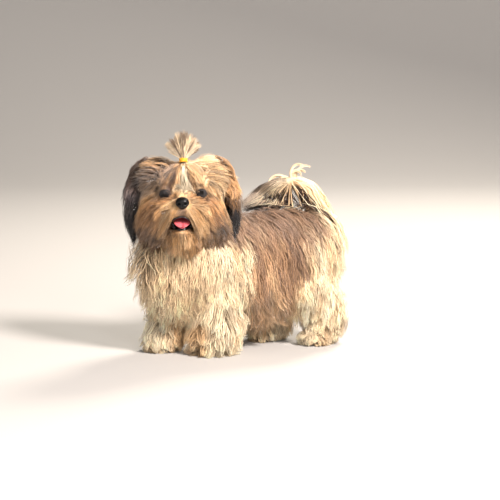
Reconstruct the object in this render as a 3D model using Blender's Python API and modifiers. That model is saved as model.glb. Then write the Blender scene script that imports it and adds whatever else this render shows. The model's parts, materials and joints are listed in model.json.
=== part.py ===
"""A shih tzu, life size, standing with its head turned to its left, as a still model.

+X is the dog's left, -Y is ahead of it and +Z is up. The floor is at z = 0.
The body is planned in centimetres, as balls and limbs of flesh with a depth of coat on each.
Flesh is blended smoothly, each node is cut clear of its neighbours, and locks of hair are
rooted in it and combed along the lie of the coat.
"""

import math
import random

import bmesh
import bpy
import numpy as np
from mathutils import Matrix, Vector
from mathutils.bvhtree import BVHTree

CM = 0.01
GAP = 0.035  # the air left between two nodes, in cm
CUT_GROWTH = 0.045  # how far a neighbour is grown before it is cut away, in cm
SEED = 7

# Driving sizes, in cm. The back is the height of the spine's skin over the shoulders.
BACK = 24.2
CHEST_HALF = 6.1
LEG = 1.6
PAW = (1.9, 2.5, 1.7)
SKULL = (5.4, 5.6, 4.6)
EYE_RADIUS = 1.0
LID = 0.28
CORE_SHARE = 0.5  # how much of the coat's depth belongs to the core of each node

# Where the feet stand, as in the photograph: the left feet are set back from the right ones.
FEET = {
    "foreleg_left": (2.4, -7.7),
    "foreleg_right": (-4.8, -13.8),
    "hindleg_left": (5.5, 13.4),
    "hindleg_right": (-3.1, 7.7),
}
SPINE_BEND = 0.11  # how far the spine leans to the left for each cm towards the rump

# The head's own frame: x to its left, y to its back and z up, turned towards the dog's left.
HEAD_AT = (1.45, -13.1, 28.7)
HEAD_TURN = math.radians(54)
HEAD_NOD = math.radians(4)
HEAD_TILT = math.radians(-1)
EYES = {1: (3.25, -3.95, 0.85), -1: (-3.25, -3.95, 0.85)}
NOSE_AT = (0.0, -7.3, -0.65)
MOUTH_AT = (-0.3, -5.4, -4.1)
MOUTH = (1.75, 2.4, 1.35)
BAND_AT = (0.0, -2.7, 6.7)
TOPKNOT_LENGTH = 5.0
EAR_SHIFT = -0.6  # the ears and the crown lie a little to the right of the eyes

COLOURS = {
    "cream": ((0.80, 0.66, 0.50), 0.75),
    "sable": ((0.46, 0.36, 0.28), 0.75),
    "tan": ((0.72, 0.52, 0.34), 0.75),
    "dark": ((0.07, 0.055, 0.05), 0.7),
    "nose": ((0.012, 0.011, 0.012), 0.3),
    "eye": ((0.03, 0.015, 0.01), 0.08),
    "tongue": ((0.80, 0.30, 0.32), 0.4),
    "band": ((0.90, 0.60, 0.12), 0.45),
}

TAIL_BONES = (
    (1.6, 14.2, 22.0, 1.4),
    (1.7, 14.9, 25.2, 1.1),
    (1.2, 13.6, 28.0, 0.9),
    (0.3, 11.2, 29.6, 0.8),
    (-1.2, 8.4, 29.4, 0.6),
)


def head_frame():
    turn = Matrix.Rotation(HEAD_TURN, 4, "Z")
    nod = Matrix.Rotation(-HEAD_NOD, 4, "X")
    tilt = Matrix.Rotation(HEAD_TILT, 4, "Y")
    return Matrix.Translation(HEAD_AT) @ turn @ nod @ tilt


HEAD = head_frame()


def spine_x(y):
    return SPINE_BEND * y


def ball(centre, radii, coat=0.0, frame=None):
    """An ellipsoid of flesh under a coat of this depth, in the body's frame or in another."""
    return {"centre": centre, "radii": radii, "coat": coat, "frame": frame or Matrix()}


def limb(points, coats):
    """Round stretches of flesh through (x, y, z, radius) points, with a coat depth at each."""
    return [
        {"ends": (a, b), "coats": pair}
        for a, b, pair in zip(points, points[1:], zip(coats, coats[1:]))
    ]


def leg_root(foot):
    """The shoulder or the hip over a foot, as (x, y, z, radius)."""
    x, y = foot
    side = 1 if x > spine_x(y) else -1
    if y < 0:
        return (spine_x(-9) + side * 3.9, -9.4 + 0.25 * (y + 10.7), 16.0, 2.8)
    return (spine_x(11) + side * 3.1, 11.0, 16.5, 3.5)


def torso_forms():
    half = CHEST_HALF
    places = (
        (-9.8, 16.6, (half, 5.4, 6.6), 2.2),
        (-3.0, BACK - 6.5, (half + 0.2, 8.0, 6.5), 1.9),
        (5.0, BACK - 5.6, (half - 0.7, 7.5, 5.5), 1.9),
        (12.3, BACK - 6.0, (half - 0.6, 5.8, 5.4), 2.4),
    )
    forms = [ball((spine_x(y), y, z), radii, coat) for y, z, radii, coat in places]
    # The skirt of hair that hangs under the belly and the apron under the breast.
    forms.append(ball((0.3, 1.5, 12.8), (half - 1.8, 9.5, 3.4), 3.4))
    forms.append(ball((-2.6, -12.2, 14.2), (3.4, 2.8, 4.0), 4.4))
    forms.append(ball((-3.7, -13.0, 17.6), (1.4, 3.9, 3.9), 5.0))
    for foot in FEET.values():
        x, y, z, radius = leg_root(foot)
        reach = 0.9 if y < 0 else 1.2
        forms.append(ball((x, y, z), (radius + 0.2, radius + reach, radius + reach), 2.0))
    return forms


def leg_forms(foot):
    x, y = foot
    root = leg_root(foot)
    if y < 0:
        points = (
            root,
            (0.55 * root[0] + 0.45 * x, 0.5 * (root[1] + y) + 0.9, 10.0, LEG + 0.6),
            (x, y + 0.5, 4.2, LEG),
            (x, y + 0.1, 2.2, LEG),
        )
        coats = (1.2, 2.8, 4.2, 4.0) if x > 0 else (1.2, 2.2, 2.6, 2.2)
    else:
        points = (
            root,
            (0.4 * root[0] + 0.6 * x, y - 2.0, 11.0, 3.0),
            (x, y + 2.2, 6.2, LEG),
            (x, y + 1.2, 3.0, LEG),
        )
        coats = (1.2, 2.1, 3.0, 2.4)
    paw_coat = 3.0 if x > 0 and y < 0 else 1.6
    return limb(points, coats) + [ball((x, y - 0.3, PAW[2]), PAW, paw_coat)]


def neck_forms():
    return limb(((spine_x(-8), -8.6, 20.0, 4.3), (0.6, -11.6, 26.5, 3.9)), (2.4, 2.0))


def head_forms():
    places = [
        ((0, 0.9, 1.4), SKULL, 1.2),
        ((0, -4.7, -1.9), (2.7, 2.7, 1.9), 0.6),
        ((0, -5.3, -0.3), (1.3, 1.6, 1.2), 0.1),
        ((0, 2.6, -1.0), (3.6, 3.2, 3.4), 3.0),
    ]
    for side in (-1, 1):
        eye_x, eye_y, eye_z = EYES[side]
        places.append(((side * 3.3, -1.0, -1.9), (3.5, 4.2, 3.6), 2.2))
        places.append(((side * 4.2 + EAR_SHIFT, 1.4, 3.7), (1.6, 2.2, 1.2), 3.6))
        places.append(((side * 2.6, -2.9, 2.8), (2.3, 1.7, 1.5), 0.5))
        places.append(((side * 1.35, -5.6, -2.5), (1.6, 1.7, 1.4), 0.5))
        places.append(((eye_x, eye_y, eye_z), (EYE_RADIUS + LID,) * 3, 0.0))
    return [ball(centre, radii, coat, HEAD) for centre, radii, coat in places]


def face_share(points, share):
    """The core's share of the coat, which runs out round the eyes, the nose and the mouth."""
    inverse = np.array(HEAD.inverted())
    local = points @ inverse[:3, :3].T + inverse[:3, 3]
    spots = [(EYES[1], 1.4, 2.6), (EYES[-1], 1.4, 2.6), (NOSE_AT, 1.4, 2.0), (MOUTH_AT, 2.2, 2.0)]
    for centre, reach, fade in spots:
        away = lengths(local - np.array(centre))
        share = share * np.clip((away - reach) / fade, 0, 1)
    return share


def jaw_forms():
    return [
        ball((-0.1, -3.9, -6.0), (2.2, 2.9, 1.0), 0.8, HEAD),
        ball((-0.1, -3.4, -6.8), (2.3, 1.8, 1.0), 1.4, HEAD),
    ]


def ear_forms(side):
    """The hanging leather of an ear and the hair that lengthens it."""
    points = ((5.0, 1.4, 4.9, 0.8), (7.3, 1.2, 3.2, 0.9), (8.7, 1.0, -0.4, 0.9), (8.8, 0.8, -4.0, 0.6))
    placed = []
    for x, y, z, radius in points:
        at = HEAD @ Vector((side * x + EAR_SHIFT, y, z))
        placed.append((*at, radius))
    return limb(placed, (0.4, 1.2, 1.4, 1.2))


def topknot_forms():
    x, y, z = BAND_AT
    return [
        ball((x, y, z + 1.5), (0.8, 0.6, 1.2), 0.8, HEAD),
        ball((x + 0.1, y, z + 2.5), (1.7, 0.6, 0.7), 1.7, HEAD),
    ]


def lengths(vectors):
    return np.sqrt((vectors * vectors).sum(axis=-1))


def units(vectors):
    return vectors / np.maximum(lengths(vectors), 1e-9)[..., None]


def form_distance(form, points, share):
    """How far points are from a form's surface, with this share of its coat on it."""
    if "ends" in form:
        (a, b), coats = form["ends"], form["coats"]
        start, end = np.array(a[:3]), np.array(b[:3])
        line = end - start
        along = np.clip((points - start) @ line / (line @ line), 0, 1)
        coat = coats[0] + along * (coats[1] - coats[0])
        radius = a[3] + along * (b[3] - a[3]) + share * coat
        return lengths(points - start - along[:, None] * line) - radius
    inverse = np.array(form["frame"].inverted())
    local = points @ inverse[:3, :3].T + inverse[:3, 3] - np.array(form["centre"])
    depth = np.broadcast_to(np.asarray(share, float) * form["coat"], len(points))
    radii = np.array(form["radii"]) + depth[:, None]
    near, nearer = lengths(local / radii), lengths(local / radii**2)
    return near * (near - 1) / np.maximum(nearer, 1e-6)


def field(forms, points, share, blend=1.2):
    """The signed distance to the smooth blend of the forms. A share may depend on the place."""
    if callable(share):
        share = share(points)
    value = form_distance(forms[0], points, share)
    for form in forms[1:]:
        other = form_distance(form, points, share)
        mix = np.maximum(blend - np.abs(value - other), 0) / blend
        value = np.minimum(value, other) - mix * mix * blend / 4
    return value


def slope(forms, points, share, step=0.05):
    """The outward direction of the blend at each point."""
    rise = [
        field(forms, points + step * axis, share) - field(forms, points - step * axis, share)
        for axis in np.eye(3)
    ]
    return units(np.stack(rise, axis=1))


def settled(forms, points, share):
    """Points moved on to the surface of the blend."""
    for _ in range(4):
        points = points - field(forms, points, share)[:, None] * slope(forms, points, share)
    return points


def clear_scene():
    for obj in list(bpy.data.objects):
        bpy.data.objects.remove(obj)


def material(name):
    """A plain material in one of the coat's or the face's colours."""
    made = bpy.data.materials.get(name)
    if made is None:
        (red, green, blue), roughness = COLOURS[name]
        made = bpy.data.materials.new(name)
        made.use_nodes = True
        shader = made.node_tree.nodes["Principled BSDF"]
        shader.inputs["Base Color"].default_value = (red, green, blue, 1)
        shader.inputs["Roughness"].default_value = roughness
        shader.inputs["Metallic"].default_value = 0.0
    return made


def new_object(name, mesh, collection=None):
    obj = bpy.data.objects.new(name, mesh)
    (collection or DOG).objects.link(obj)
    return obj


def cutter(name, mesh):
    """An object that is only cut away with, or added to a node."""
    obj = new_object(name, mesh, CUTTERS)
    obj.hide_render = True
    obj.display_type = "WIRE"
    return obj


def mesh_from(bm, name):
    mesh = bpy.data.meshes.new(name)
    bm.to_mesh(mesh)
    bm.free()
    return mesh


def applied(obj):
    """The object with its modifiers made part of its mesh."""
    bpy.context.view_layer.update()
    graph = bpy.context.evaluated_depsgraph_get()
    mesh = bpy.data.meshes.new_from_object(obj.evaluated_get(graph))
    obj.modifiers.clear()
    obj.data = mesh
    return obj


def add_ball(bm, centre, radii, frame, rings=12):
    shape = frame @ Matrix.Translation(centre) @ Matrix.Diagonal((*radii, 1))
    bmesh.ops.create_uvsphere(
        bm, u_segments=2 * rings, v_segments=rings, radius=1, matrix=Matrix.Scale(CM, 4) @ shape
    )


def add_limb(bm, start, end):
    """The convex hull of two spheres."""
    part = bmesh.new()
    for x, y, z, radius in (start, end):
        add_ball(part, (x, y, z), (radius,) * 3, Matrix(), rings=8)
    hull = bmesh.ops.convex_hull(part, input=part.verts)
    inner = [v for v in hull["geom_interior"] + hull["geom_unused"] if isinstance(v, bmesh.types.BMVert)]
    bmesh.ops.delete(part, geom=inner, context="VERTS")
    mesh = mesh_from(part, "hull")
    bm.from_mesh(mesh)
    bpy.data.meshes.remove(mesh)


def flesh(name, forms, share, faces, colour, voxel=0.45):
    """One smooth closed body from the forms, with about this many triangles."""
    bm = bmesh.new()
    full = CORE_SHARE if callable(share) else share
    for form in forms:
        if "ends" in form:
            ends = [(*p[:3], p[3] + full * c) for p, c in zip(form["ends"], form["coats"])]
            add_limb(bm, *ends)
        else:
            radii = [r + full * form["coat"] for r in form["radii"]]
            add_ball(bm, form["centre"], radii, form["frame"])
    obj = new_object(name, mesh_from(bm, name))
    remesh = obj.modifiers.new("blend", "REMESH")
    remesh.mode = "VOXEL"
    remesh.voxel_size = voxel * CM
    applied(obj)
    settle_mesh(obj, forms, share)
    thin = obj.modifiers.new("thin", "DECIMATE")
    thin.ratio = faces / (2 * len(obj.data.polygons))
    thin.use_collapse_triangulate = True
    applied(obj)
    settle_mesh(obj, forms, share)
    obj.data.materials.clear()
    obj.data.materials.append(material(colour))
    obj.data.shade_smooth()
    return obj


def mesh_points(mesh):
    points = np.empty(len(mesh.vertices) * 3)
    mesh.vertices.foreach_get("co", points)
    return points.reshape(-1, 3) / CM


def settle_mesh(obj, forms, share):
    points = settled(forms, mesh_points(obj.data), share)
    obj.data.vertices.foreach_set("co", (points * CM).ravel())
    obj.data.update()


def grown(obj, by=CUT_GROWTH):
    """A copy of a node, a little larger all round."""
    mesh = obj.data.copy()
    points = mesh_points(mesh)
    normals = np.array([v.normal for v in mesh.vertices])
    mesh.vertices.foreach_set("co", ((points + by * normals) * CM).ravel())
    return cutter(obj.name + "_grown", mesh)


def largest_piece(obj):
    """Keeps the largest closed surface of an object and drops loose scraps."""
    bm = bmesh.new()
    bm.from_mesh(obj.data)
    left, pieces = set(bm.verts), []
    while left:
        edge = [left.pop()]
        piece = set(edge)
        while edge:
            for link in edge.pop().link_edges:
                for vert in link.verts:
                    if vert not in piece:
                        piece.add(vert)
                        edge.append(vert)
        left -= piece
        pieces.append(piece)
    pieces.sort(key=len, reverse=True)
    for piece in pieces[1:]:
        bmesh.ops.delete(bm, geom=list(piece), context="VERTS")
    bm.to_mesh(obj.data)
    bm.free()
    return obj


def tree(obj):
    """The faces of an object, for asking what they cross."""
    bm = bmesh.new()
    bm.from_mesh(obj.data)
    made = BVHTree.FromBMesh(bm)
    bm.free()
    return made


def crosses(obj, other):
    return bool(tree(obj).overlap(tree(other)))


def volume(mesh):
    """The volume inside a closed mesh, or 0 when it has an open edge."""
    bm = bmesh.new()
    bm.from_mesh(mesh)
    closed = len(bm.faces) > 0 and all(edge.is_manifold for edge in bm.edges)
    held = bm.calc_volume() if closed else 0.0
    bm.free()
    return held


def combined(obj, operation, other):
    """The object after a Boolean with a mesh or a collection, by the first solver that works."""
    whole = obj.data
    for solver in ("MANIFOLD", "EXACT"):
        step = obj.modifiers.new("combine", "BOOLEAN")
        step.operation, step.solver = operation, solver
        if isinstance(other, bpy.types.Collection):
            step.operand_type, step.collection = "COLLECTION", other
        else:
            step.object = other
        applied(obj)
        if volume(obj.data) > 0:
            return obj
        obj.data = whole
    raise RuntimeError(f"{obj.name}: no solver could combine it with {other.name}")


def cut_clear(obj, others):
    """Cuts the neighbours, each grown by the gap, out of a node."""
    for other in others:
        for share in (1, 0.5):
            tool = grown(other, share * CUT_GROWTH)
            if share == 1 or crosses(obj, tool):
                combined(obj, "DIFFERENCE", tool)
            bpy.data.objects.remove(tool)
        largest_piece(obj)
    return obj


def plane_cut(obj, point, normal):
    """Takes away what lies on the normal's side of a plane, and closes the cut."""
    bm = bmesh.new()
    bm.from_mesh(obj.data)
    geometry = bm.verts[:] + bm.edges[:] + bm.faces[:]
    found = bmesh.ops.bisect_plane(
        bm, geom=geometry, plane_co=Vector(point) * CM, plane_no=normal, clear_outer=True
    )
    rim = [e for e in found["geom_cut"] if isinstance(e, bmesh.types.BMEdge)]
    bmesh.ops.contextual_create(bm, geom=rim)
    bmesh.ops.triangulate(bm, faces=bm.faces[:])
    bmesh.ops.recalc_face_normals(bm, faces=bm.faces[:])
    bm.to_mesh(obj.data)
    bm.free()
    return largest_piece(obj)


def halves(obj, point, normal):
    """Cuts a node in two by a plane, with the gap between them."""
    other = new_object(obj.name + "_half", obj.data.copy())
    for half, sign in ((obj, 1), (other, -1)):
        plane_cut(half, Vector(point) - sign * GAP / 2 * normal, sign * normal)
    return obj, other


def round_piece(name, centre, radii, colour, rings=8, lean=0.0):
    """A small smooth ellipsoid on the head, such as an eye, which leans about its own x axis."""
    bm = bmesh.new()
    at = HEAD @ Matrix.Translation(centre) @ Matrix.Rotation(lean, 4, "X")
    add_ball(bm, (0, 0, 0), radii, at, rings)
    bmesh.ops.triangulate(bm, faces=bm.faces[:])
    obj = new_object(name, mesh_from(bm, name))
    obj.data.materials.append(material(colour))
    obj.data.shade_smooth()
    return obj


def carved(obj, *places):
    """The object with ellipsoids (centre, radii) taken out of it."""
    for centre, radii in places:
        bm = bmesh.new()
        add_ball(bm, centre, radii, HEAD, rings=6)
        tool = cutter("carver", mesh_from(bm, "carver"))
        combined(obj, "DIFFERENCE", tool)
        bpy.data.objects.remove(tool)
    return largest_piece(obj)


def place(nodes, obj):
    """Adds a node, cut clear of the nodes that were placed before it."""
    near = []
    for other in nodes.values():
        tool = grown(other)
        if crosses(obj, tool):
            near.append(other)
        bpy.data.objects.remove(tool)
    cut_clear(obj, near)
    nodes[obj.name] = obj


# Locks of hair. Each node has a lie, a function that gives the way its hair falls at each place.


def body_lie(points):
    """Parted along the spine, then down and a little to the rear."""
    side = np.tanh((points[:, 0] - spine_x(points[:, 1])) / 1.5)
    high = np.clip((points[:, 2] - 18) / 5, 0, 1)
    out = side * (0.05 + 0.8 * high)
    return np.stack([out, np.full(len(points), 0.22), -1 + 0.4 * high], axis=1)


def chest_lie(points):
    """Down, and spread a little to both sides."""
    side = np.tanh((points[:, 0] - spine_x(points[:, 1])) / 3)
    return np.stack([0.2 * side, np.full(len(points), -0.2), np.full(len(points), -1.0)], axis=1)


def torso_lie(points):
    front = np.clip((-8 - points[:, 1]) / 5, 0, 1)[:, None]
    return (1 - front) * body_lie(points) + front * chest_lie(points)


def falling(points):
    """Straight down."""
    return np.tile(np.array([0.0, 0.0, -1.0]), (len(points), 1))


def in_head(points):
    inverse = np.array(HEAD.inverted())
    return points @ inverse[:3, :3].T + inverse[:3, 3]


def from_head(vectors):
    return vectors @ np.array(HEAD)[:3, :3].T


def head_lie(points):
    """Out and down over the cheeks, down the back, and up from the brows to the band."""
    local = in_head(points)
    side = np.sign(local[:, 0])
    out = np.stack([0.75 * side, np.full(len(local), 0.2), np.full(len(local), -1.0)], axis=1)
    to_band = np.array(BAND_AT) - local
    brow = np.clip((local[:, 2] - 1.2) / 1.2, 0, 1) * np.clip((-0.8 - local[:, 1]) / 1.5, 0, 1)
    brow = brow * np.clip((5.0 - np.abs(local[:, 0])) / 1.5, 0, 1)
    mixed = (1 - brow)[:, None] * units(out) + brow[:, None] * units(to_band)
    return from_head(mixed)


def ear_lie(points):
    local = in_head(points)
    side = np.sign(local[:, 0])
    curl = np.clip((local[:, 2] - 1) / 4, 0, 1)
    return from_head(np.stack([side * curl, 0.1 * np.ones(len(local)), -1 + 0.5 * curl], axis=1))


def topknot_lie(points):
    local = in_head(points) - np.array(BAND_AT)
    rise = np.clip(1.3 - local[:, 2] / TOPKNOT_LENGTH, -0.4, 1)
    return from_head(np.stack([local[:, 0] * 0.55, local[:, 1] * 0.4, rise], axis=1))


def ramp(values, start, end):
    """0 before start and 1 after end, with a smooth rise between."""
    t = np.clip((values - start) / (end - start), 0, 1)
    return t * t * (3 - 2 * t)


def mixed(base, other, weight):
    return base + np.clip(weight, 0, 1)[:, None] * (other - base)


def tail_along(points):
    """-1 for what lies before the top of the arch as the photo shows it, 1 for what lies behind."""
    x, y, _ = points.T
    return np.tanh((0.56 * (x - 0.3) + 0.83 * (y - 11.0)) / 1.2)


def tail_lead(points):
    """The way that the tail's hair sets out: on past the bones' end, and back over the rump."""
    x, y, z = points.T
    along = tail_along(points)
    high = ramp(z, 23, 29)
    side = np.tanh((x - 0.8) / 0.8)
    behind = np.stack([0.2 + 0.4 * high + 0.25 * side, 0.15 + 0.6 * high, -0.5 + high], axis=1)
    ahead = np.stack([-0.5 + 0.3 * side, np.full(len(x), -1.0), np.full(len(x), 0.25)], axis=1)
    return mixed(ahead, behind, ramp(along, -0.5, 0.3))


def tail_lie(points):
    """Falling: behind the arch back over the rump, before it forward along the back."""
    x, y, z = points.T
    along = tail_along(points)
    right = 0.56 * (x - 0.3) + 0.83 * (y - 11.0)
    inner = 1 - ramp(right, 1, 6)
    one = np.ones(len(x))
    behind = np.stack([0.06 + 0.25 * inner, 0.2 + 0.5 * inner, -one], axis=1)
    ahead = np.stack([-0.3 * one, -0.66 * one, -0.62 * one], axis=1)
    under = ramp(y, 7.2, 8.2) * (1 - ramp(z, 28.6, 29.1))
    ahead = mixed(ahead, np.array((-0.1, -0.1, -1.0)), under)
    return mixed(ahead, behind, ramp(along, -0.7, -0.1))


def combed(forms, roots, normals, reach, lift, plan):
    """The path of each lock: it leaves its root, bends along the lie and keeps near the core."""
    lie, lead = plan["lie"], plan.get("lead", plan["lie"])
    steps, share, cling = plan.get("steps", 4), plan.get("share", CORE_SHARE), plan.get("cling", 0.6)
    over = plan.get("over", [])
    step = (reach / steps)[:, None]
    at = roots - 0.35 * normals
    path, way = [at], units(0.5 * normals + units(lead(roots)))
    for index in range(1, steps + 1):
        way = units(plan.get("inertia", 0.4) * way + units(lie(path[-1])))
        at = path[-1] + step * way
        away, out = field(forms, at, share), slope(forms, at, share)
        height = lift * min(1.0, 0.4 + 0.4 * index)
        hangs = np.clip(1 + 2 * out[:, 2], 0, 1)
        pull = np.where(away < height, 1.0, cling * hangs)
        at = at + (pull * (height - away))[:, None] * out
        if over and index > 1:
            deep = np.maximum(plan["over_lift"] - field(over, at, share), 0)
            at = at + deep[:, None] * slope(over, at, share)
        path.append(at)
    return np.stack(path, axis=1)


def lock_mesh(path, outward, width, depth):
    """A closed flat lock along a path, with a ridge down its outer side, tapered to its tip."""
    along = units(np.gradient(path, axis=0))
    last = len(path) - 1
    bm = bmesh.new()
    rings = []
    for index in range(last):
        place = index / last
        taper = 0.8 + 0.8 * place if place < 0.25 else 1 - 0.62 * ((place - 0.25) / 0.5) ** 1.5
        across = units(np.cross(along[index], outward[index]))
        over = units(np.cross(across, along[index]))
        ring = []
        for x, y in ((1, -0.6), (0, 1), (-1, -0.6)):
            offset = across * x * width * taper / 2 + over * y * depth * max(taper, 0.4) / 2
            ring.append(bm.verts.new((path[index] + offset) * CM))
        rings.append(ring)
    tip = bm.verts.new(path[last] * CM)
    bm.faces.new(rings[0])
    for lower, upper in zip(rings, rings[1:]):
        for k in range(3):
            bm.faces.new((lower[k], lower[(k + 1) % 3], upper[(k + 1) % 3], upper[k]))
    for k in range(3):
        bm.faces.new((rings[-1][k], rings[-1][(k + 1) % 3], tip))
    bmesh.ops.triangulate(bm, faces=bm.faces[:])
    bmesh.ops.recalc_face_normals(bm, faces=bm.faces[:])
    return bm


def scattered(obj, others, spacing, keep, seed):
    """Root places and normals, spread evenly over the open surface of a node's core."""
    chance = random.Random(seed)
    mesh = obj.data
    mesh.calc_loop_triangles()
    points = mesh_points(mesh)
    corners = points[np.array([t.vertices for t in mesh.loop_triangles])]
    normals = np.array([t.normal for t in mesh.loop_triangles])
    areas = lengths(np.cross(corners[:, 1] - corners[:, 0], corners[:, 2] - corners[:, 0]))
    picked = chance.choices(range(len(areas)), weights=areas.tolist(), k=int(areas.sum() * 6))
    near = [tree(other) for other in others]
    kept = []
    for face in picked:
        u, v = chance.random(), chance.random()
        if u + v > 1:
            u, v = 1 - u, 1 - v
        a, b, c = corners[face]
        at = a + u * (b - a) + v * (c - a)
        gap = spacing(at)
        if gap <= 0 or any(lengths(at - other) < gap for other, _ in kept):
            continue
        if not keep(at) or any(t.find_nearest(Vector(at * CM), 0.2 * CM)[0] for t in near):
            continue
        kept.append((at, normals[face]))
    roots = np.array([at for at, _ in kept])
    return roots, np.array([normal for _, normal in kept])


def clear_lock(path, outward, width, depth, trees, low):
    """The longest form of the lock that crosses no other node and stays over low, if any."""
    for part in (1.0, 0.85, 0.7, 0.55, 0.4):
        trimmed = resampled(path, part)
        if trimmed[:, 2].min() < low:
            continue
        bm = lock_mesh(trimmed, outward, width * (0.6 + 0.4 * part), depth)
        for vert in bm.verts:
            vert.co += CUT_GROWTH * CM * vert.normal
        wide = BVHTree.FromBMesh(bm)
        bm.free()
        if not any(wide.overlap(t) for t in trees):
            return lock_mesh(trimmed, outward, width * (0.6 + 0.4 * part), depth)
    return None


def resampled(path, part):
    """The first part of a path, with as many points."""
    last = len(path) - 1
    spots = np.linspace(0, part * last, last + 1)
    low = np.minimum(spots.astype(int), last - 1)
    rest = (spots - low)[:, None]
    return (1 - rest) * path[low] + rest * path[low + 1]


def add_locks(nodes, name, forms, plan):
    """Roots locks in a node's core, combs them and unites them with it."""
    obj = nodes[name]
    others = [other for other in nodes.values() if other is not obj]
    trees = [tree(other) for other in others]
    share = plan.get("share", CORE_SHARE)
    roots, normals = scattered(obj, others, plan["spacing"], plan["keep"], plan["seed"])
    reach = np.array([plan["reach"](at) for at in roots])
    lift = np.array([plan["lift"](at) for at in roots])
    chance = random.Random(plan["seed"] + 1)
    reach = reach * np.array([chance.uniform(0.85, 1.12) for _ in roots])
    paths = combed(forms, roots, normals, reach, lift, plan)
    group = bpy.data.collections.new(name + "_locks")
    bpy.context.scene.collection.children.link(group)
    made = 0
    for index, path in enumerate(paths):
        outward = slope(forms, path, share)
        outward[0] = normals[index]
        wide = plan["width"] * chance.uniform(0.85, 1.15)
        thick = wide * plan.get("flat", 0.36)
        bm = clear_lock(path, outward, wide, thick, trees, plan.get("low", 0.3))
        if bm is not None:
            lock = new_object(f"{name}_lock", mesh_from(bm, "lock"), group)
            lock.hide_render = True
            lock.display_type = "WIRE"
            made += 1
    bpy.context.view_layer.update()
    combined(obj, "UNION", group)
    for lock in list(group.objects):
        bpy.data.objects.remove(lock)
    bpy.data.collections.remove(group)
    largest_piece(obj)
    return made


def lock_plans():
    """For each node: where locks root, how close, how long, how wide and how far they stand off."""
    def even(gap):
        return lambda at: gap

    plans = {
        "topknot": dict(
            lie=topknot_lie, width=1.2, seed=SEED + 50, spacing=even(1.3), steps=3,
            keep=lambda at: in_head(at[None])[0][2] > BAND_AT[2] + 1.0,
            reach=lambda at: 2.9, lift=lambda at: 0.2,
        ),
        "tail_root": dict(
            lie=tail_lie, lead=tail_lead, inertia=0.9, over=torso_forms(), over_lift=1.2,
            width=2.7, seed=SEED + 60, spacing=even(1.9), flat=0.24, cling=0.0, steps=5,
            keep=lambda at: at[2] > 24.5, reach=lambda at: 10.0, lift=lambda at: 0.7,
        ),
        "tail_plume": dict(
            lie=tail_lie, lead=tail_lead, inertia=0.9, over=torso_forms(), over_lift=1.2,
            width=2.4, seed=SEED + 70, spacing=even(1.8), flat=0.24, cling=0.0, steps=5,
            keep=lambda at: True, reach=lambda at: 9.0, lift=lambda at: 0.7,
        ),
    }
    for side, word in ((1, "left"), (-1, "right")):
        plans[f"ear_{word}"] = dict(
            lie=ear_lie, width=2.1, seed=SEED + 40 + side, spacing=even(2.3), flat=0.28,
            keep=lambda at: True, reach=lambda at: 4.4, lift=lambda at: 0.3, steps=3,
        )
    plans["jaw"] = dict(
        lie=falling, width=1.7, seed=SEED + 30, spacing=even(1.8), steps=3,
        keep=lambda at: in_head(at[None])[0][2] < -5.9,
        reach=lambda at: 2.0, lift=lambda at: 0.3,
    )
    plans["head"] = dict(
        lie=head_lie, width=2.3, seed=SEED + 20, spacing=even(2.7), flat=0.28,
        keep=head_keeps, reach=head_reach, lift=lambda at: 0.35, steps=3,
    )
    plans["torso"] = dict(
        lie=torso_lie, width=3.3, seed=SEED, flat=0.26, low=5.8, cling=0.8,
        spacing=lambda at: 3.6 if at[2] < 20 else 4.4,
        keep=lambda at: at[2] > 9.0,
        reach=lambda at: 7.5 + 1.5 * (at[2] > 15),
        lift=lambda at: 0.5 + 0.3 * (at[1] < -10 or at[1] > 14),
    )
    plans["neck"] = dict(
        lie=torso_lie, width=2.8, seed=SEED + 10, spacing=even(3.6), flat=0.26,
        keep=lambda at: at[2] > 15, reach=lambda at: 5.5, lift=lambda at: 0.5,
    )
    for index, name in enumerate(FEET):
        plans[name] = dict(
            lie=falling, width=2.6, seed=SEED + 80 + index, spacing=even(3.2), flat=0.26,
            keep=lambda at: 3.4 < at[2], cling=0.3, steps=3,
            reach=lambda at: min(6.0, at[2] - 0.6), lift=lambda at: 0.5,
        )
    return plans


def head_keeps(at):
    """Whether locks root here: not round the eyes, on the nose or in the mouth."""
    x, y, z = in_head(at[None])[0]
    local = np.array((x, y, z))
    near_eye = min(lengths(local - np.array(eye)) for eye in EYES.values())
    if near_eye < 2.0 or lengths(local - np.array(NOSE_AT)) < 2.0:
        return False
    if lengths(local - np.array(MOUTH_AT)) < 2.6 or lengths(local - np.array(BAND_AT)) < 1.4:
        return False
    return z > -6.0


def head_reach(at):
    x, y, z = in_head(at[None])[0]
    if y < -3.5:
        return 3.2 if z < 1 else 4.2
    if z > 3.0 and y < 0:
        return 3.6
    return 4.8


def centre_on_floor(nodes):
    """Moves the whole dog so that the middle of its box is over the origin, as the record says."""
    points = np.concatenate([mesh_points(node.data) for node in nodes.values()])
    low, high = points.min(axis=0), points.max(axis=0)
    shift = Matrix.Translation((-CM * (low[0] + high[0]) / 2, -CM * (low[1] + high[1]) / 2, 0))
    for node in nodes.values():
        node.data.transform(shift)


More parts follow.
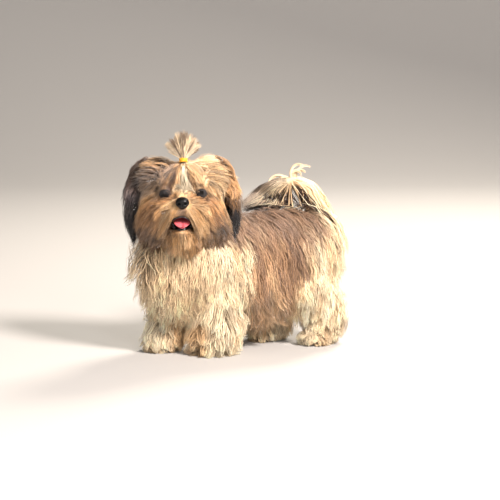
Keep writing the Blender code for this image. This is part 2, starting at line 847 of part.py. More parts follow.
def build():
    nodes, forms = {}, {}
    for side, word in ((1, "left"), (-1, "right")):
        place(nodes, round_piece(f"eye_{word}", EYES[side], (EYE_RADIUS,) * 3, "eye", rings=7))
    nose = round_piece("nose", NOSE_AT, (1.2, 0.9, 1.0), "nose", rings=7)
    nostrils = [((side * 0.55, -8.15, -0.7), (0.3, 0.5, 0.24)) for side in (-1, 1)]
    place(nodes, carved(nose, *nostrils))
    place(nodes, round_piece("tongue", (-0.2, -4.9, -4.45), (1.4, 2.3, 0.4), "tongue", rings=6, lean=0.3))
    place(nodes, round_piece("hair_band", BAND_AT, (0.75, 0.75, 0.4), "band", rings=6))

    forms["topknot"] = topknot_forms()
    place(nodes, flesh("topknot", forms["topknot"], CORE_SHARE, 150, "cream", 0.25))
    for side, word in ((1, "left"), (-1, "right")):
        forms[f"ear_{word}"] = ear_forms(side)
        place(nodes, flesh(f"ear_{word}", ear_forms(side), CORE_SHARE, 180, "dark", 0.3))
    forms["jaw"] = jaw_forms()
    jaw = flesh("jaw", jaw_forms(), CORE_SHARE, 260, "tan", 0.3)
    place(nodes, carved(jaw, (MOUTH_AT, MOUTH)))
    tail_forms = limb(TAIL_BONES, (1.8,) * 5)
    tail = flesh("tail_root", tail_forms, CORE_SHARE, 320, "cream")
    root, plume = halves(tail, (0.75, 12.4, 28.8), Vector((-0.3, -0.8, 0.53)).normalized())
    plume.name = "tail_plume"
    forms["tail_root"] = forms["tail_plume"] = tail_forms
    place(nodes, root)
    place(nodes, plume)
    forms["neck"] = neck_forms()
    place(nodes, flesh("neck", forms["neck"], CORE_SHARE, 180, "cream"))
    forms["head"] = head_forms()
    head = flesh("head", forms["head"], lambda p: face_share(p, CORE_SHARE), 700, "tan", 0.35)
    openings = [((x, y - 1.0, z), (1.1, 1.3, 0.8)) for x, y, z in EYES.values()]
    lip_line = [((0, -7.4, -3.0), (0.15, 0.9, 1.0))]
    corner_x = [MOUTH_AT[0] + side * MOUTH[0] for side in (-1, 1)]
    corners = [((x, -5.2, -3.8), (0.9, 1.9, 0.3)) for x in corner_x]
    place(nodes, carved(head, (MOUTH_AT, MOUTH), *openings, *lip_line, *corners))
    for side, word in ((1, "left"), (-1, "right")):
        cup = (side * 7.4 + EAR_SHIFT, 0.9, -1.2)
        carved(nodes[f"ear_{word}"], (cup, (0.7, 0.9, 2.4)))
    forms["torso"] = torso_forms()
    place(nodes, flesh("torso", forms["torso"], CORE_SHARE, 640, "sable"))
    for name, foot in FEET.items():
        forms[name] = leg_forms(foot)
        leg = flesh(name, forms[name], CORE_SHARE, 220, "cream")
        place(nodes, plane_cut(leg, (0, 0, 0), Vector((0, 0, -1))))

    for name, plan in lock_plans().items():
        before = sum(len(p.vertices) - 2 for p in nodes[name].data.polygons)
        count = add_locks(nodes, name, forms[name], plan)
        after = sum(len(p.vertices) - 2 for p in nodes[name].data.polygons)
        print(name, "locks", count, "faces", before, after)
    centre_on_floor(nodes)


clear_scene()
DOG = bpy.data.collections.new("shih_tzu")
CUTTERS = bpy.data.collections.new("cutters")
bpy.context.scene.collection.children.link(DOG)
bpy.context.scene.collection.children.link(CUTTERS)
build()
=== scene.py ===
"""The looks of a standing shih tzu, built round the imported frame.

The coat is planned as in the solids: balls and limbs of flesh, each under a depth of coat, in
centimetres in the dog's own frame (+X its left, -Y ahead, +Z up). One skin lies at the bottom
of the coat, and strands root in it, rise to their own level and run along the lie of the coat.
"""

import json
import math

import bmesh
import bpy
import numpy as np
from mathutils import Matrix, Vector
from mathutils.kdtree import KDTree

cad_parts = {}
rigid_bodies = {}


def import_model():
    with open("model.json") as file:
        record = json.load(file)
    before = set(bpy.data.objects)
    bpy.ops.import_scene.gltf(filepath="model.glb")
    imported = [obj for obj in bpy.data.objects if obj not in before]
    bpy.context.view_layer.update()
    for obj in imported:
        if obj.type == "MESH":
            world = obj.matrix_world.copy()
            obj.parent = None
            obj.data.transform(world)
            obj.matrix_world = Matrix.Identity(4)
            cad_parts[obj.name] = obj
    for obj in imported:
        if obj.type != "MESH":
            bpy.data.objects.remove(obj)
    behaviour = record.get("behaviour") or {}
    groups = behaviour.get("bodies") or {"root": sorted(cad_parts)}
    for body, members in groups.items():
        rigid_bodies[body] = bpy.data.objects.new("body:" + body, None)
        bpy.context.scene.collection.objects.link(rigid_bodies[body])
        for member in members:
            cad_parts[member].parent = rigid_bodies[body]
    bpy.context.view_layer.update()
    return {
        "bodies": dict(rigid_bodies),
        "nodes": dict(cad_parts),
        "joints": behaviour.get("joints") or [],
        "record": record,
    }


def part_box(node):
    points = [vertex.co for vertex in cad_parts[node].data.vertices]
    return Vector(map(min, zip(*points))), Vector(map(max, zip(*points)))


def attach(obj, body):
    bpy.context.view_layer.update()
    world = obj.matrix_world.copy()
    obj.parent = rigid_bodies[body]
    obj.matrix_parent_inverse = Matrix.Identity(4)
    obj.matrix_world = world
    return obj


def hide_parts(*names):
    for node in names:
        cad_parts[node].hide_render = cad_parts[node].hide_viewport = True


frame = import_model()

CM = 0.01
SEED = 11
THIN = 1.0

# The sizes that the solids are planned with, in cm.
BACK = 24.2
CHEST_HALF = 6.1
LEG = 1.6
PAW = (1.9, 2.5, 1.7)
SKULL = (5.4, 5.6, 4.6)
EYE_RADIUS = 1.0
LID = 0.28
FEET = {
    "foreleg_left": (2.4, -7.7),
    "foreleg_right": (-4.8, -13.8),
    "hindleg_left": (5.5, 13.4),
    "hindleg_right": (-3.1, 7.7),
}
SPINE_BEND = 0.11
HEAD_AT = (1.45, -13.1, 28.7)
HEAD_TURN = math.radians(54)
HEAD_NOD = math.radians(4)
HEAD_TILT = math.radians(-1)
EYES = {1: (3.25, -3.95, 0.85), -1: (-3.25, -3.95, 0.85)}
SIDES = ((1, "left"), (-1, "right"))
NOSE_AT = (0.0, -7.3, -0.65)
MOUTH_AT = (-0.3, -5.4, -4.1)
MOUTH = (1.75, 2.4, 1.35)
TONGUE_SIDE = -0.15
BAND_AT = (0.0, -2.7, 6.7)
EAR_SHIFT = -0.6
TAIL_BONES = (
    (1.6, 14.2, 22.0, 1.4),
    (1.7, 14.9, 25.2, 1.1),
    (1.2, 13.6, 28.0, 0.9),
    (0.3, 11.2, 29.6, 0.8),
    (-1.2, 8.4, 29.4, 0.6),
)

PHOTO_RIGHT = (0.56, 0.83, 0.0)  # the photo's right, on the floor

# The camera: where it stands and aims in the dog's frame, in metres, and its lens.
CAMERA_AZIMUTH = math.radians(56)
CAMERA_RISE = math.radians(8.5)
CAMERA_AWAY = 4.0
CAMERA_AIM = Vector((0.01832377, 0.00584131, 0.181))
CAMERA_LENS = 158.4


def srgb(red, green, blue):
    """A colour as a screen shows it, from 0 to 255, turned into linear light."""
    values = np.array((red, green, blue)) / 255
    return np.where(values <= 0.04045, values / 12.92, ((values + 0.055) / 1.055) ** 2.4)


WHITE = srgb(255, 238, 206)
CREAM = srgb(244, 208, 162)
GOLD = srgb(214, 164, 108)
TAN = srgb(196, 154, 116)
ORANGE = srgb(204, 142, 86)
MAUVE = srgb(138, 112, 94)
GREY = srgb(146, 134, 128)
BROWN = srgb(88, 62, 48)
DARK = srgb(56, 46, 50)
BLACK = srgb(22, 19, 23)
LIP = srgb(18, 13, 14)
PINK = srgb(232, 104, 112)
# The inside of the mouth: its red, darkened as painted shade.
MOUTH_RED_IN_SHADE = srgb(60, 12, 16)


def head_frame():
    turn = Matrix.Rotation(HEAD_TURN, 4, "Z")
    nod = Matrix.Rotation(-HEAD_NOD, 4, "X")
    tilt = Matrix.Rotation(HEAD_TILT, 4, "Y")
    return Matrix.Translation(HEAD_AT) @ turn @ nod @ tilt


HEAD = head_frame()
LOW_EYE, HIGH_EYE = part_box("eye_left")
SHIFT = (LOW_EYE + HIGH_EYE) / 2 - CM * (HEAD @ Vector(EYES[1]))
SHIFT.z = 0
TO_ROW = Matrix.Translation(SHIFT) @ Matrix.Scale(CM, 4)

# Forms: the same balls and limbs as in the solids.


def spine_x(y):
    return SPINE_BEND * y


def ball(centre, radii, coat=0.0, frame=None):
    return {"centre": centre, "radii": radii, "coat": coat, "frame": frame or Matrix()}


def limb(points, coats):
    return [
        {"ends": (a, b), "coats": pair}
        for a, b, pair in zip(points, points[1:], zip(coats, coats[1:]))
    ]


def leg_root(foot):
    x, y = foot
    side = 1 if x > spine_x(y) else -1
    if y < 0:
        return (spine_x(-9) + side * 3.9, -9.4 + 0.25 * (y + 10.7), 16.0, 2.8)
    return (spine_x(11) + side * 3.1, 11.0, 16.5, 3.5)


def torso_forms():
    half = CHEST_HALF
    places = (
        (-9.8, 16.6, (half, 5.4, 6.6), 2.2),
        (-3.0, BACK - 6.5, (half + 0.2, 8.0, 6.5), 1.9),
        (5.0, BACK - 5.6, (half - 0.7, 7.5, 5.5), 1.9),
        (12.3, BACK - 6.0, (half - 0.6, 5.8, 5.4), 2.4),
    )
    forms = [ball((spine_x(y), y, z), radii, coat) for y, z, radii, coat in places]
    forms.append(ball((0.3, 1.5, 12.8), (half - 1.8, 9.5, 3.4), 3.4))
    forms.append(ball((-2.6, -12.2, 14.2), (3.4, 2.8, 4.0), 4.4))
    forms.append(ball((-3.7, -13.0, 17.6), (1.4, 3.9, 3.9), 5.0))
    for foot in FEET.values():
        x, y, z, radius = leg_root(foot)
        reach = 0.9 if y < 0 else 1.2
        forms.append(ball((x, y, z), (radius + 0.2, radius + reach, radius + reach), 2.0))
    return forms


def leg_forms(foot):
    x, y = foot
    root = leg_root(foot)
    if y < 0:
        points = (
            root,
            (0.55 * root[0] + 0.45 * x, 0.5 * (root[1] + y) + 0.9, 10.0, LEG + 0.6),
            (x, y + 0.5, 4.2, LEG),
            (x, y + 0.1, 2.2, LEG),
        )
        coats = (1.2, 2.8, 4.2, 4.0) if x > 0 else (1.2, 2.2, 2.6, 2.2)
    else:
        points = (
            root,
            (0.4 * root[0] + 0.6 * x, y - 2.0, 11.0, 3.0),
            (x, y + 2.2, 6.2, LEG),
            (x, y + 1.2, 3.0, LEG),
        )
        coats = (1.2, 2.1, 3.0, 2.4)
    paw_coat = 3.0 if x > 0 and y < 0 else 1.6
    return limb(points, coats) + [ball((x, y - 0.3, PAW[2]), PAW, paw_coat)]


def neck_forms():
    return limb(((spine_x(-8), -8.6, 20.0, 4.3), (0.6, -11.6, 26.5, 3.9)), (2.4, 2.0))


def head_forms():
    places = [
        ((0, 0.9, 1.4), SKULL, 1.2),
        ((0, -4.7, -1.9), (2.7, 2.7, 1.9), 0.6),
        ((0, -5.3, -0.3), (1.3, 1.6, 1.2), 0.1),
        ((0, 2.6, -1.0), (3.6, 3.2, 3.4), 3.0),
    ]
    for side in (-1, 1):
        places.append(((side * 3.3, -1.0, -1.9), (3.5, 4.2, 3.6), 2.2))
        places.append(((side * 4.2 + EAR_SHIFT, 1.4, 3.7), (1.6, 2.2, 1.2), 3.6))
        places.append(((side * 2.6, -2.9, 2.8), (2.3, 1.7, 1.5), 0.5))
        places.append(((side * 1.35, -5.6, -2.5), (1.6, 1.7, 1.4), 0.5))
        places.append((EYES[side], (EYE_RADIUS + LID,) * 3, 0.0))
    return [ball(centre, radii, coat, HEAD) for centre, radii, coat in places]


def jaw_forms():
    return [
        ball((-0.1, -3.9, -6.0), (2.2, 2.9, 1.0), 0.8, HEAD),
        ball((-0.1, -3.4, -6.8), (2.3, 1.8, 1.0), 1.4, HEAD),
    ]


def ear_forms(side):
    points = ((5.0, 1.4, 4.9, 0.8), (7.3, 1.2, 3.2, 0.8), (8.7, 1.0, -0.4, 0.7), (8.8, 0.8, -4.0, 0.5))
    placed = []
    for x, y, z, radius in points:
        at = HEAD @ Vector((side * x + EAR_SHIFT, y, z))
        placed.append((*at, radius))
    return limb(placed, (0.4, 1.3, 1.6, 1.3))


def toe_forms(foot):
    """Four toes at the front of a paw."""
    x, y = foot
    toes = []
    for across, ahead in ((-1.35, -1.5), (-0.5, -2.15), (0.5, -2.15), (1.35, -1.5)):
        toes.append(ball((x + across, y + ahead, 0.85), (0.62, 0.95, 0.8), 1.0))
    return toes


def lengths(vectors):
    return np.sqrt((vectors * vectors).sum(axis=-1))


def units(vectors):
    return vectors / np.maximum(lengths(vectors), 1e-9)[..., None]


def stacked(*parts):
    """One vector for each point, from columns of which some may be plain numbers."""
    return np.stack(np.broadcast_arrays(*parts), axis=-1)


def form_distance(form, points, share):
    """How far points are from a form's surface, with this share of its coat on it."""
    if "ends" in form:
        (a, b), coats = form["ends"], form["coats"]
        start, end = np.array(a[:3]), np.array(b[:3])
        line = end - start
        along = np.clip((points - start) @ line / (line @ line), 0, 1)
        coat = coats[0] + along * (coats[1] - coats[0])
        radius = a[3] + along * (b[3] - a[3]) + share * coat
        return lengths(points - start - along[:, None] * line) - radius
    inverse = np.array(form["frame"].inverted())
    local = points @ inverse[:3, :3].T + inverse[:3, 3] - np.array(form["centre"])
    depth = np.broadcast_to(np.asarray(share, float) * form["coat"], len(points))
    radii = np.array(form["radii"]) + depth[:, None]
    near, nearer = lengths(local / radii), lengths(local / radii**2)
    return near * (near - 1) / np.maximum(nearer, 1e-6)


def joined(value, other, blend):
    """The smooth union of two distances."""
    mix = np.maximum(blend - np.abs(value - other), 0) / blend
    return np.minimum(value, other) - mix * mix * blend / 4


def field(forms, points, share, blend=1.2):
    value = form_distance(forms[0], points, share)
    for form in forms[1:]:
        value = joined(value, form_distance(form, points, share), blend)
    return value


CORNERS = np.array(((1, -1, -1), (-1, -1, 1), (-1, 1, -1), (1, 1, 1)), float)


def sounded(distance, points, step=0.05):
    """The distance at each point and the outward direction there."""
    values = [distance(points + step * corner) for corner in CORNERS]
    rise = sum(value[:, None] * corner for value, corner in zip(values, CORNERS))
    return sum(values) / 4, units(rise)


def in_head(points):
    inverse = np.array(HEAD.inverted())
    return points @ inverse[:3, :3].T + inverse[:3, 3]


def from_head(vectors):
    return vectors @ np.array(HEAD)[:3, :3].T


def head_points(points):
    return from_head(points) + np.array(HEAD)[:3, 3]


def ramp(values, start, end):
    """0 before start and 1 after end, with a smooth rise between."""
    t = np.clip((values - start) / (end - start), 0, 1)
    return t * t * (3 - 2 * t)


def patch(points, centre, radii, soft=0.5):
    """1 inside an ellipsoid and 0 outside it, with a soft edge."""
    away = lengths((points - np.array(centre)) / np.array(radii))
    return 1 - ramp(away, 1 - soft / 2, 1 + soft / 2)


def drift(points, scale, seed):
    """A smooth wander between about -1 and 1, the same on each run."""
    chance = np.random.default_rng(seed)
    total = np.zeros(len(points))
    for octave in range(3):
        ways = chance.normal(size=(4, 3)) * 1.8**octave / scale
        phases = chance.uniform(0, 2 * math.pi, 4)
        total += np.sin(points @ ways.T + phases).sum(axis=1) / (2.4 * 1.5**octave)
    return np.clip(total / 1.6, -1, 1)


def mixed(base, other, weight):
    return base + np.clip(weight, 0, 1)[:, None] * (other - base)


def painted(colour, *layers):
    """Lays colours over a colour in turn, each by its own weight."""
    for other, weight in layers:
        colour = mixed(colour, other, weight)
    return colour


HEAD_FORMS = head_forms()
JAW_FORMS = jaw_forms()
NECK_FORMS = neck_forms()
TORSO_FORMS = torso_forms()
TAIL_FORMS = limb(TAIL_BONES, (1.8,) * 5)
EAR_FORMS = {side: ear_forms(side) for side in (1, -1)}
LEG_FORMS = {name: leg_forms(foot) for name, foot in FEET.items()}
TOE_FORMS = {name: toe_forms(foot) for name, foot in FEET.items()}
EYE_OPENING = (0.82, 1.3, 0.42)

# Markings, in linear light, at places in the dog's frame. The skin and the coat share them.
# Each stripe up the forehead has the place of its middle, its half width and its depth.
STRIPES = ((-2.5, 0.85, 1.0), (1.45, 0.32, 1.0), (-3.8, 0.35, 0.6), (2.3, 0.22, 0.6), (-0.95, 0.16, 0.7))


def head_colour(points):
    """Gold and cream with a white blaze, dark stripes, a grey temple and a dark moustache end."""
    p = in_head(points)
    x, y, z = p.T
    streak = drift(p * (1.6, 1, 1), 1.1, SEED + 1)
    fine = drift(p * (3.0, 1.4, 1.2), 0.6, SEED + 21)
    right, left = ramp(-x, 1.2, 3.4), ramp(x, 1.5, 3.5)
    cheek, crown = ramp(-z, -1.2, 0.4), ramp(z, 1.6, 3.6)
    temple = ramp(z, 0.6, 3.0) * ramp(-x, 2.6, 4.2)
    colour = painted(
        GOLD,
        (CREAM, 0.35 + 0.8 * fine),
        # The right cheek is in brown shades, the left one is pale.
        (TAN * 0.5, cheek * right * (0.75 + 0.5 * fine)),
        (TAN * 0.6, cheek * left * ramp(-fine, -0.2, 0.5) * 0.7),
        # The crown is cream over its left eye, and the right temple is grey.
        (CREAM, crown * (0.7 + 0.3 * streak) * ramp(x, -0.8, 0.8)),
        (WHITE, crown * ramp(fine, 0.2, 0.8) * 0.7 * ramp(x, 0.5, 2)),
        (MAUVE, crown * ramp(-fine, 0.4, 0.9) * 0.5 * ramp(x, 1, 3)),
        (GREY, temple * (0.75 + 0.3 * streak)),
        (DARK, temple * ramp(fine, 0.0, 0.5) * 0.65),
        # The back of the head is grey brown.
        (MAUVE, ramp(y, 0.5, 3.5) * 0.8),
    )
    front = ramp(-y, 0.0, 1.0) * ramp(z, 0.0, 0.7)
    narrow = 1 - 0.7 * ramp(z, 2.0, 6.5)
    for middle, wide, deep in STRIPES:
        stripe = np.exp(-(((x - middle * narrow) / (wide * narrow)) ** 2))
        colour = mixed(colour, BROWN * 0.75, front * stripe * deep)
    blaze = np.exp(-(((x - 0.25) / (0.85 * narrow)) ** 4)) * front * ramp(z, 0.6, 1.2)
    colour = mixed(colour, WHITE, blaze * 1.1)
    colour = mixed(colour, DARK, patch(p, (-1.9, -1.6, 6.2), (1.3, 2.0, 1.4), 0.6) * 0.85)
    # Pale over the nose, gold below the eyes, dark at the ends of the moustache.
    for side in (1, -1):
        eye = np.array(EYES[side])
        corner = eye + (-1.7 * side, -0.8, -0.9)
        low = patch(p, (side * 5.2, -2.6, -4.4), (3.0, 4.4, 2.6), 0.9)
        colour = painted(
            colour,
            (CREAM, patch(p, (side * 1.0, -6.0, 0.1), (0.9, 1.6, 0.8), 0.9) * 0.6),
            (BROWN * 0.8, patch(p, eye, (1.5, 2.0, 1.1), 0.8) * 0.85),
            (ORANGE, patch(p, corner, (1.2, 1.6, 0.8), 0.8) * 0.6),
            (ORANGE, patch(p, (side * 4.2, -3.4, -1.0), (2.2, 2.4, 1.5), 0.9) * (0.45 + 0.15 * side)),
            (MAUVE * 0.85, low * (0.75 + 0.3 * streak)),
            (BROWN * 0.7, low * ramp(fine, 0.0, 0.5) * 0.8),
        )
    colour = mixed(colour, MAUVE, patch(p, (0, -6.9, -2.2), (0.9, 1.6, 0.8), 0.8) * 0.9)
    # The sunlit side is toned down, and the lips are brown.
    colour = mixed(colour, colour * 0.8, ramp(x, -0.8, 1.2) * 0.9)
    return mixed(colour, BROWN * 0.8, patch(p, MOUTH_AT, (2.5, 3.4, 1.9), 0.4) * 0.6)


def jaw_colour(points):
    p = in_head(points)
    return painted(
        GOLD * 0.85,
        (CREAM, 0.25 + 0.6 * drift(p, 1.0, SEED + 2)),
        (TAN * 0.6, ramp(np.abs(p[:, 0]), 1.2, 2.4) * 0.7),
        (BROWN * 0.8, patch(p, MOUTH_AT, (2.4, 3.2, 1.75), 0.4) * 0.6),
    )


def ear_colour(points):
    """The right ear is nearly black, the left one tan above and black below."""
    p = in_head(points)
    x, _, z = p.T
    streak = drift(p, 0.9, SEED + 3)
    right = painted(
        DARK,
        (GREY, 0.25 + 0.6 * streak),
        (MAUVE, ramp(z, 1.0, 4.5) * (0.7 + 0.4 * streak)),
        (BLACK, ramp(-z, -0.5, 2.0) * 0.9),
    )
    left = painted(GOLD, (TAN, 0.4 + 0.6 * streak), (BLACK, ramp(-z + 0.8 * streak, -0.5, 0.7)))
    return np.where((x > 0)[:, None], left, right)


def torso_colour(points):
    """Cream with a grey brown saddle that pales down the flanks, and gold tints on the breast."""
    x, y, z = points.T
    streak = drift(points * (1, 2.2, 0.35), 1.6, SEED + 4)
    fine = drift(points * (1, 3.0, 0.4), 0.7, SEED + 5)
    # The saddle runs from the withers to the loin and hangs down both flanks.
    front_edge = -4.6 + 0.16 * (25 - z) + 0.9 * streak
    rear_edge = 9.6 - 0.20 * (25 - z) + 1.2 * fine
    saddle = ramp(y, front_edge - 0.8, front_edge + 0.8) * (1 - ramp(y, rear_edge - 1.2, rear_edge + 1.2))
    back = ramp(y, -9.5, -6.5) * (1 - ramp(y, 11.5, 14)) * ramp(z, 19.5, 23.5)
    back = back * (1 - ramp(np.abs(x - spine_x(y)), 4.0, 6.0))
    flank = painted(
        TAN,
        (MAUVE, 0.35 + 0.8 * fine),
        (CREAM, ramp(streak, 0.1, 0.8) * 0.5),
        (MAUVE * 0.9, ramp(z, 19, 24) * 0.65),
        (CREAM, (1 - ramp(z, 8.5, 15.5)) * 0.55),
    )
    return painted(
        CREAM,
        (WHITE, 0.5 + 0.5 * streak),
        (flank, np.maximum(saddle, back)),
        (GOLD, ramp(-y, 8, 12) * ramp(streak, 0.1, 0.9) * 0.4),
    )


def leg_colour(points):
    streak = drift(points * (1, 1, 0.5), 1.2, SEED + 6)
    return painted(CREAM, (WHITE, 0.55 + 0.5 * streak), (GOLD, ramp(-streak, 0.35, 0.9) * 0.45))


def painted_shade_under_arch(points):
    """1 on the under side of the tail's arch, where its hair is painted dark brown as shade."""
    y, z = points[:, 1], points[:, 2]
    return ramp(-y, -12.6, -11.4) * ramp(-z, -29.5, -29.1)


def tail_colour(points):
    """White and cream, with tan inside the fall, grey on its far side and a painted dark shade underneath."""
    x, y, _ = points.T
    along = drift(points * (1.5, 1, 1), 0.8, SEED + 7)
    return painted(
        WHITE,
        (CREAM, 0.4 + 0.5 * along),
        (ORANGE, ramp(along, 0.0, 0.6) * ramp(y, 11.5, 13.0) * 0.7),
        (GREY, ramp(-y, -12.5, -10.5) * ramp(-x, -0.6, 0.6) * 0.75),
        (BROWN * 0.7, painted_shade_under_arch(points)),
    )


# The skin.


def body_forms():
    forms = TORSO_FORMS + NECK_FORMS + TAIL_FORMS
    for part in LEG_FORMS.values():
        forms = forms + part
    return forms


def eye_cuts():
    return [ball((x, y - 1.0, z), EYE_OPENING, 0, HEAD) for x, y, z in EYES.values()]


def outer_head(points):
    """The head's skin before the mouth and the eyes are opened in it."""
    return field(HEAD_FORMS + JAW_FORMS, points, 0, 0.7)


def skin_distance(points):
    value = joined(field(body_forms(), points, 0), outer_head(points), 1.2)
    for side in (1, -1):
        value = joined(value, field(EAR_FORMS[side], points, 0, 0.4), 0.3)
    for toes in TOE_FORMS.values():
        value = joined(value, field(toes, points, 0, 0.12), 0.3)
    value = -joined(-value, form_distance(ball(MOUTH_AT, MOUTH, 0, HEAD), points, 0), 0.25)
    for cut in eye_cuts():
        value = -joined(-value, form_distance(cut, points, 0), 0.15)
    return value


def link(name, mesh):
    obj = bpy.data.objects.new(name, mesh)
    bpy.context.scene.collection.objects.link(obj)
    return obj


def mesh_from(bm, name):
    mesh = bpy.data.meshes.new(name)
    bm.to_mesh(mesh)
    bm.free()
    return mesh


def applied(obj):
    bpy.context.view_layer.update()
    graph = bpy.context.evaluated_depsgraph_get()
    mesh = bpy.data.meshes.new_from_object(obj.evaluated_get(graph))
    obj.modifiers.clear()
    obj.data = mesh
    return obj


def add_ball(bm, centre, radii, at, rings=12):
    shape = at @ Matrix.Translation(centre) @ Matrix.Diagonal((*radii, 1))
    bmesh.ops.create_uvsphere(bm, u_segments=2 * rings, v_segments=rings, radius=1, matrix=shape)


def add_limb(bm, start, end):
    part = bmesh.new()
    for x, y, z, radius in (start, end):
        add_ball(part, (x, y, z), (radius,) * 3, Matrix(), rings=8)
    hull = bmesh.ops.convex_hull(part, input=part.verts)
    inner = [v for v in hull["geom_interior"] + hull["geom_unused"] if isinstance(v, bmesh.types.BMVert)]
    bmesh.ops.delete(part, geom=inner, context="VERTS")
    mesh = mesh_from(part, "hull")
    bm.from_mesh(mesh)
    bpy.data.meshes.remove(mesh)


def mesh_points(mesh):
    points = np.empty(len(mesh.vertices) * 3)
    mesh.vertices.foreach_get("co", points)
    return points.reshape(-1, 3)


def set_points(mesh, points):
    mesh.vertices.foreach_set("co", points.ravel())
    mesh.update()


def colour_layer(mesh, colours, name="tint"):
    """Stores a colour for each vertex."""
    layer = mesh.color_attributes.new(name, "FLOAT_COLOR", "POINT")
    rgba = np.concatenate([np.clip(colours, 0, 1), np.ones((len(colours), 1))], axis=1)
    layer.data.foreach_set("color", rgba.astype(np.float32).ravel())


VOXEL = 0.26
FIT_PASSES = 4
FIT_REACH = 0.6  # how far one pass may move a point


def make_skin():
    """The whole hide as one closed surface at the bottom of the coat."""
    bm = bmesh.new()
    forms = body_forms() + HEAD_FORMS + JAW_FORMS + EAR_FORMS[1] + EAR_FORMS[-1]
    for toes in TOE_FORMS.values():
        forms = forms + toes
    for form in forms:
        if "ends" in form:
            add_limb(bm, *form["ends"])
        else:
            add_ball(bm, form["centre"], form["radii"], form["frame"])
    obj = link("skin", mesh_from(bm, "skin"))
    remesh = obj.modifiers.new("blend", "REMESH")
    remesh.mode = "VOXEL"
    remesh.voxel_size = VOXEL
    applied(obj)
    points = mesh_points(obj.data)
    for _ in range(FIT_PASSES):
        value, out = sounded(skin_distance, points)
        points = points - np.clip(value, -FIT_REACH, FIT_REACH)[:, None] * out
    points[:, 2] = np.maximum(points[:, 2], 0.0)
    set_points(obj.data, points)
    obj.data.shade_smooth()
    return obj


GROUPS = ("torso", "neck", "head", "jaw", "ear_left", "ear_right", "tail", *FEET)


def group_forms():
    forms = {"torso": TORSO_FORMS, "neck": NECK_FORMS, "head": HEAD_FORMS, "jaw": JAW_FORMS}
    forms.update({"ear_left": EAR_FORMS[1], "ear_right": EAR_FORMS[-1], "tail": TAIL_FORMS})
    for name in FEET:
        forms[name] = LEG_FORMS[name] + TOE_FORMS[name]
    return forms


FORMS = group_forms()
COLOUR_OF = {"torso": torso_colour, "neck": torso_colour, "head": head_colour, "jaw": jaw_colour}
COLOUR_OF.update({"ear_left": ear_colour, "ear_right": ear_colour, "tail": tail_colour})
COLOUR_OF.update({name: leg_colour for name in FEET})


def nearest_group(points):
    """For each point, the index in GROUPS of the flesh that it lies on."""
    away = np.stack([field(FORMS[name], points, 0, 0.1) for name in GROUPS], axis=1)
    away[:, GROUPS.index("neck")] += 0.3
    return away.argmin(axis=1)


def marked(points):
    """The coat's colour at places on the skin."""
    group = nearest_group(points)
    colours = np.zeros((len(points), 3))
    for index, name in enumerate(GROUPS):
        here = group == index
        if here.any():
            colours[here] = COLOUR_OF[name](points[here])
    return colours


def unwrapped(obj):
    """Gives a mesh the unwrap that the coat's own bake map takes its places from."""
    bpy.context.view_layer.objects.active = obj
    obj.select_set(True)
    layer = obj.data.uv_layers.new(name="OFBake")
    layer.active = True
    bpy.ops.object.mode_set(mode="EDIT")
    bpy.ops.mesh.select_all(action="SELECT")
    bpy.ops.uv.smart_project(angle_limit=math.radians(66), island_margin=0.002)
    bpy.ops.object.mode_set(mode="OBJECT")
    obj.select_set(False)


def skin_triangles(obj):
    """The corners, normals, areas and map places of the skin's triangles, in cm."""
    mesh = obj.data
    mesh.calc_loop_triangles()
    count = len(mesh.loop_triangles)
    verts, loops = np.empty(count * 3, int), np.empty(count * 3, int)
    mesh.loop_triangles.foreach_get("vertices", verts)
    mesh.loop_triangles.foreach_get("loops", loops)
    places = np.empty(len(mesh.loops) * 2)
    mesh.uv_layers["OFBake"].data.foreach_get("uv", places)
    corners = mesh_points(mesh)[verts.reshape(-1, 3)]
    places = places.reshape(-1, 2)[loops.reshape(-1, 3)]
    cross = np.cross(corners[:, 1] - corners[:, 0], corners[:, 2] - corners[:, 0])
    return corners, units(cross), lengths(cross) / 2, places


# The lie of the coat.


def torso_lie(points):
    x, y, z = points.T
    across = x - spine_x(y)
    high = ramp(z, 17, 24)
    body = stacked(np.tanh(across / 1.2) * (0.06 + 0.9 * high), 0.22, -1 + 0.45 * high)
    chest = stacked(0.2 * np.tanh(across / 3), -0.18, -1.0)
    front = ramp(-y, 7, 12)[:, None]
    return (1 - front) * body + front * chest


def leg_lie(points):
    return np.tile((0.0, -0.05, -1.0), (len(points), 1))


def on_brow(p):
    """1 on the forehead, where the hair is gathered up to the band."""
    x, y, z = p.T
    return ramp(z, 1.0, 2.2) * ramp(-y, 0.4, 1.8) * (1 - ramp(np.abs(x + 0.2), 3.2, 4.8))


def head_lie(points):
    """Up from the brows to the band, out from the nose, and out and down over the cheeks."""
    p = in_head(points)
    x, y, z = p.T
    side = np.tanh(x / 0.4)
    muzzle = ramp(-y, 4.4, 5.6) * (1 - ramp(z, 0.4, 1.6))
    upper = ramp(z, -2.6, -1.0)
    way = painted(
        units(stacked(0.6 * side, 0.25, -1.0)),
        (units(stacked(1.1 * side, 0.35, -0.3)), ramp(z, 1.5, 4.0)),
        (units(stacked(0.35 * side, 0.6, -1.0)), ramp(y, 1.0, 3.5)),
        (units(np.array(BAND_AT) - p), on_brow(p)),
        (units(stacked(1.1 * x, 0.45, z + 0.9 - 0.5)), muzzle * upper),
        (units(stacked(0.45 * side, 0.05, -1.0)), muzzle * (1 - upper)),
        (units(stacked(0.7 * x, 0.5, 0.9)), patch(p, (0, -5.2, 0.3), (1.5, 1.8, 1.2), 0.6)),
    )
    return from_head(way)


def jaw_lie(points):
    return from_head(stacked(0.12 * in_head(points)[:, 0], -0.06, -1.0))


def ear_lie(points):
    x, _, z = in_head(points).T
    curl = ramp(z, 1, 5)
    return from_head(stacked(np.sign(x) * curl, 0.1, -1 + 0.5 * curl))


def tail_right(points):
    """How far points lie to the right of the arch's top, as the photo shows it."""
    x, y, _ = points.T
    return PHOTO_RIGHT[0] * (x - 0.3) + PHOTO_RIGHT[1] * (y - 11.0)


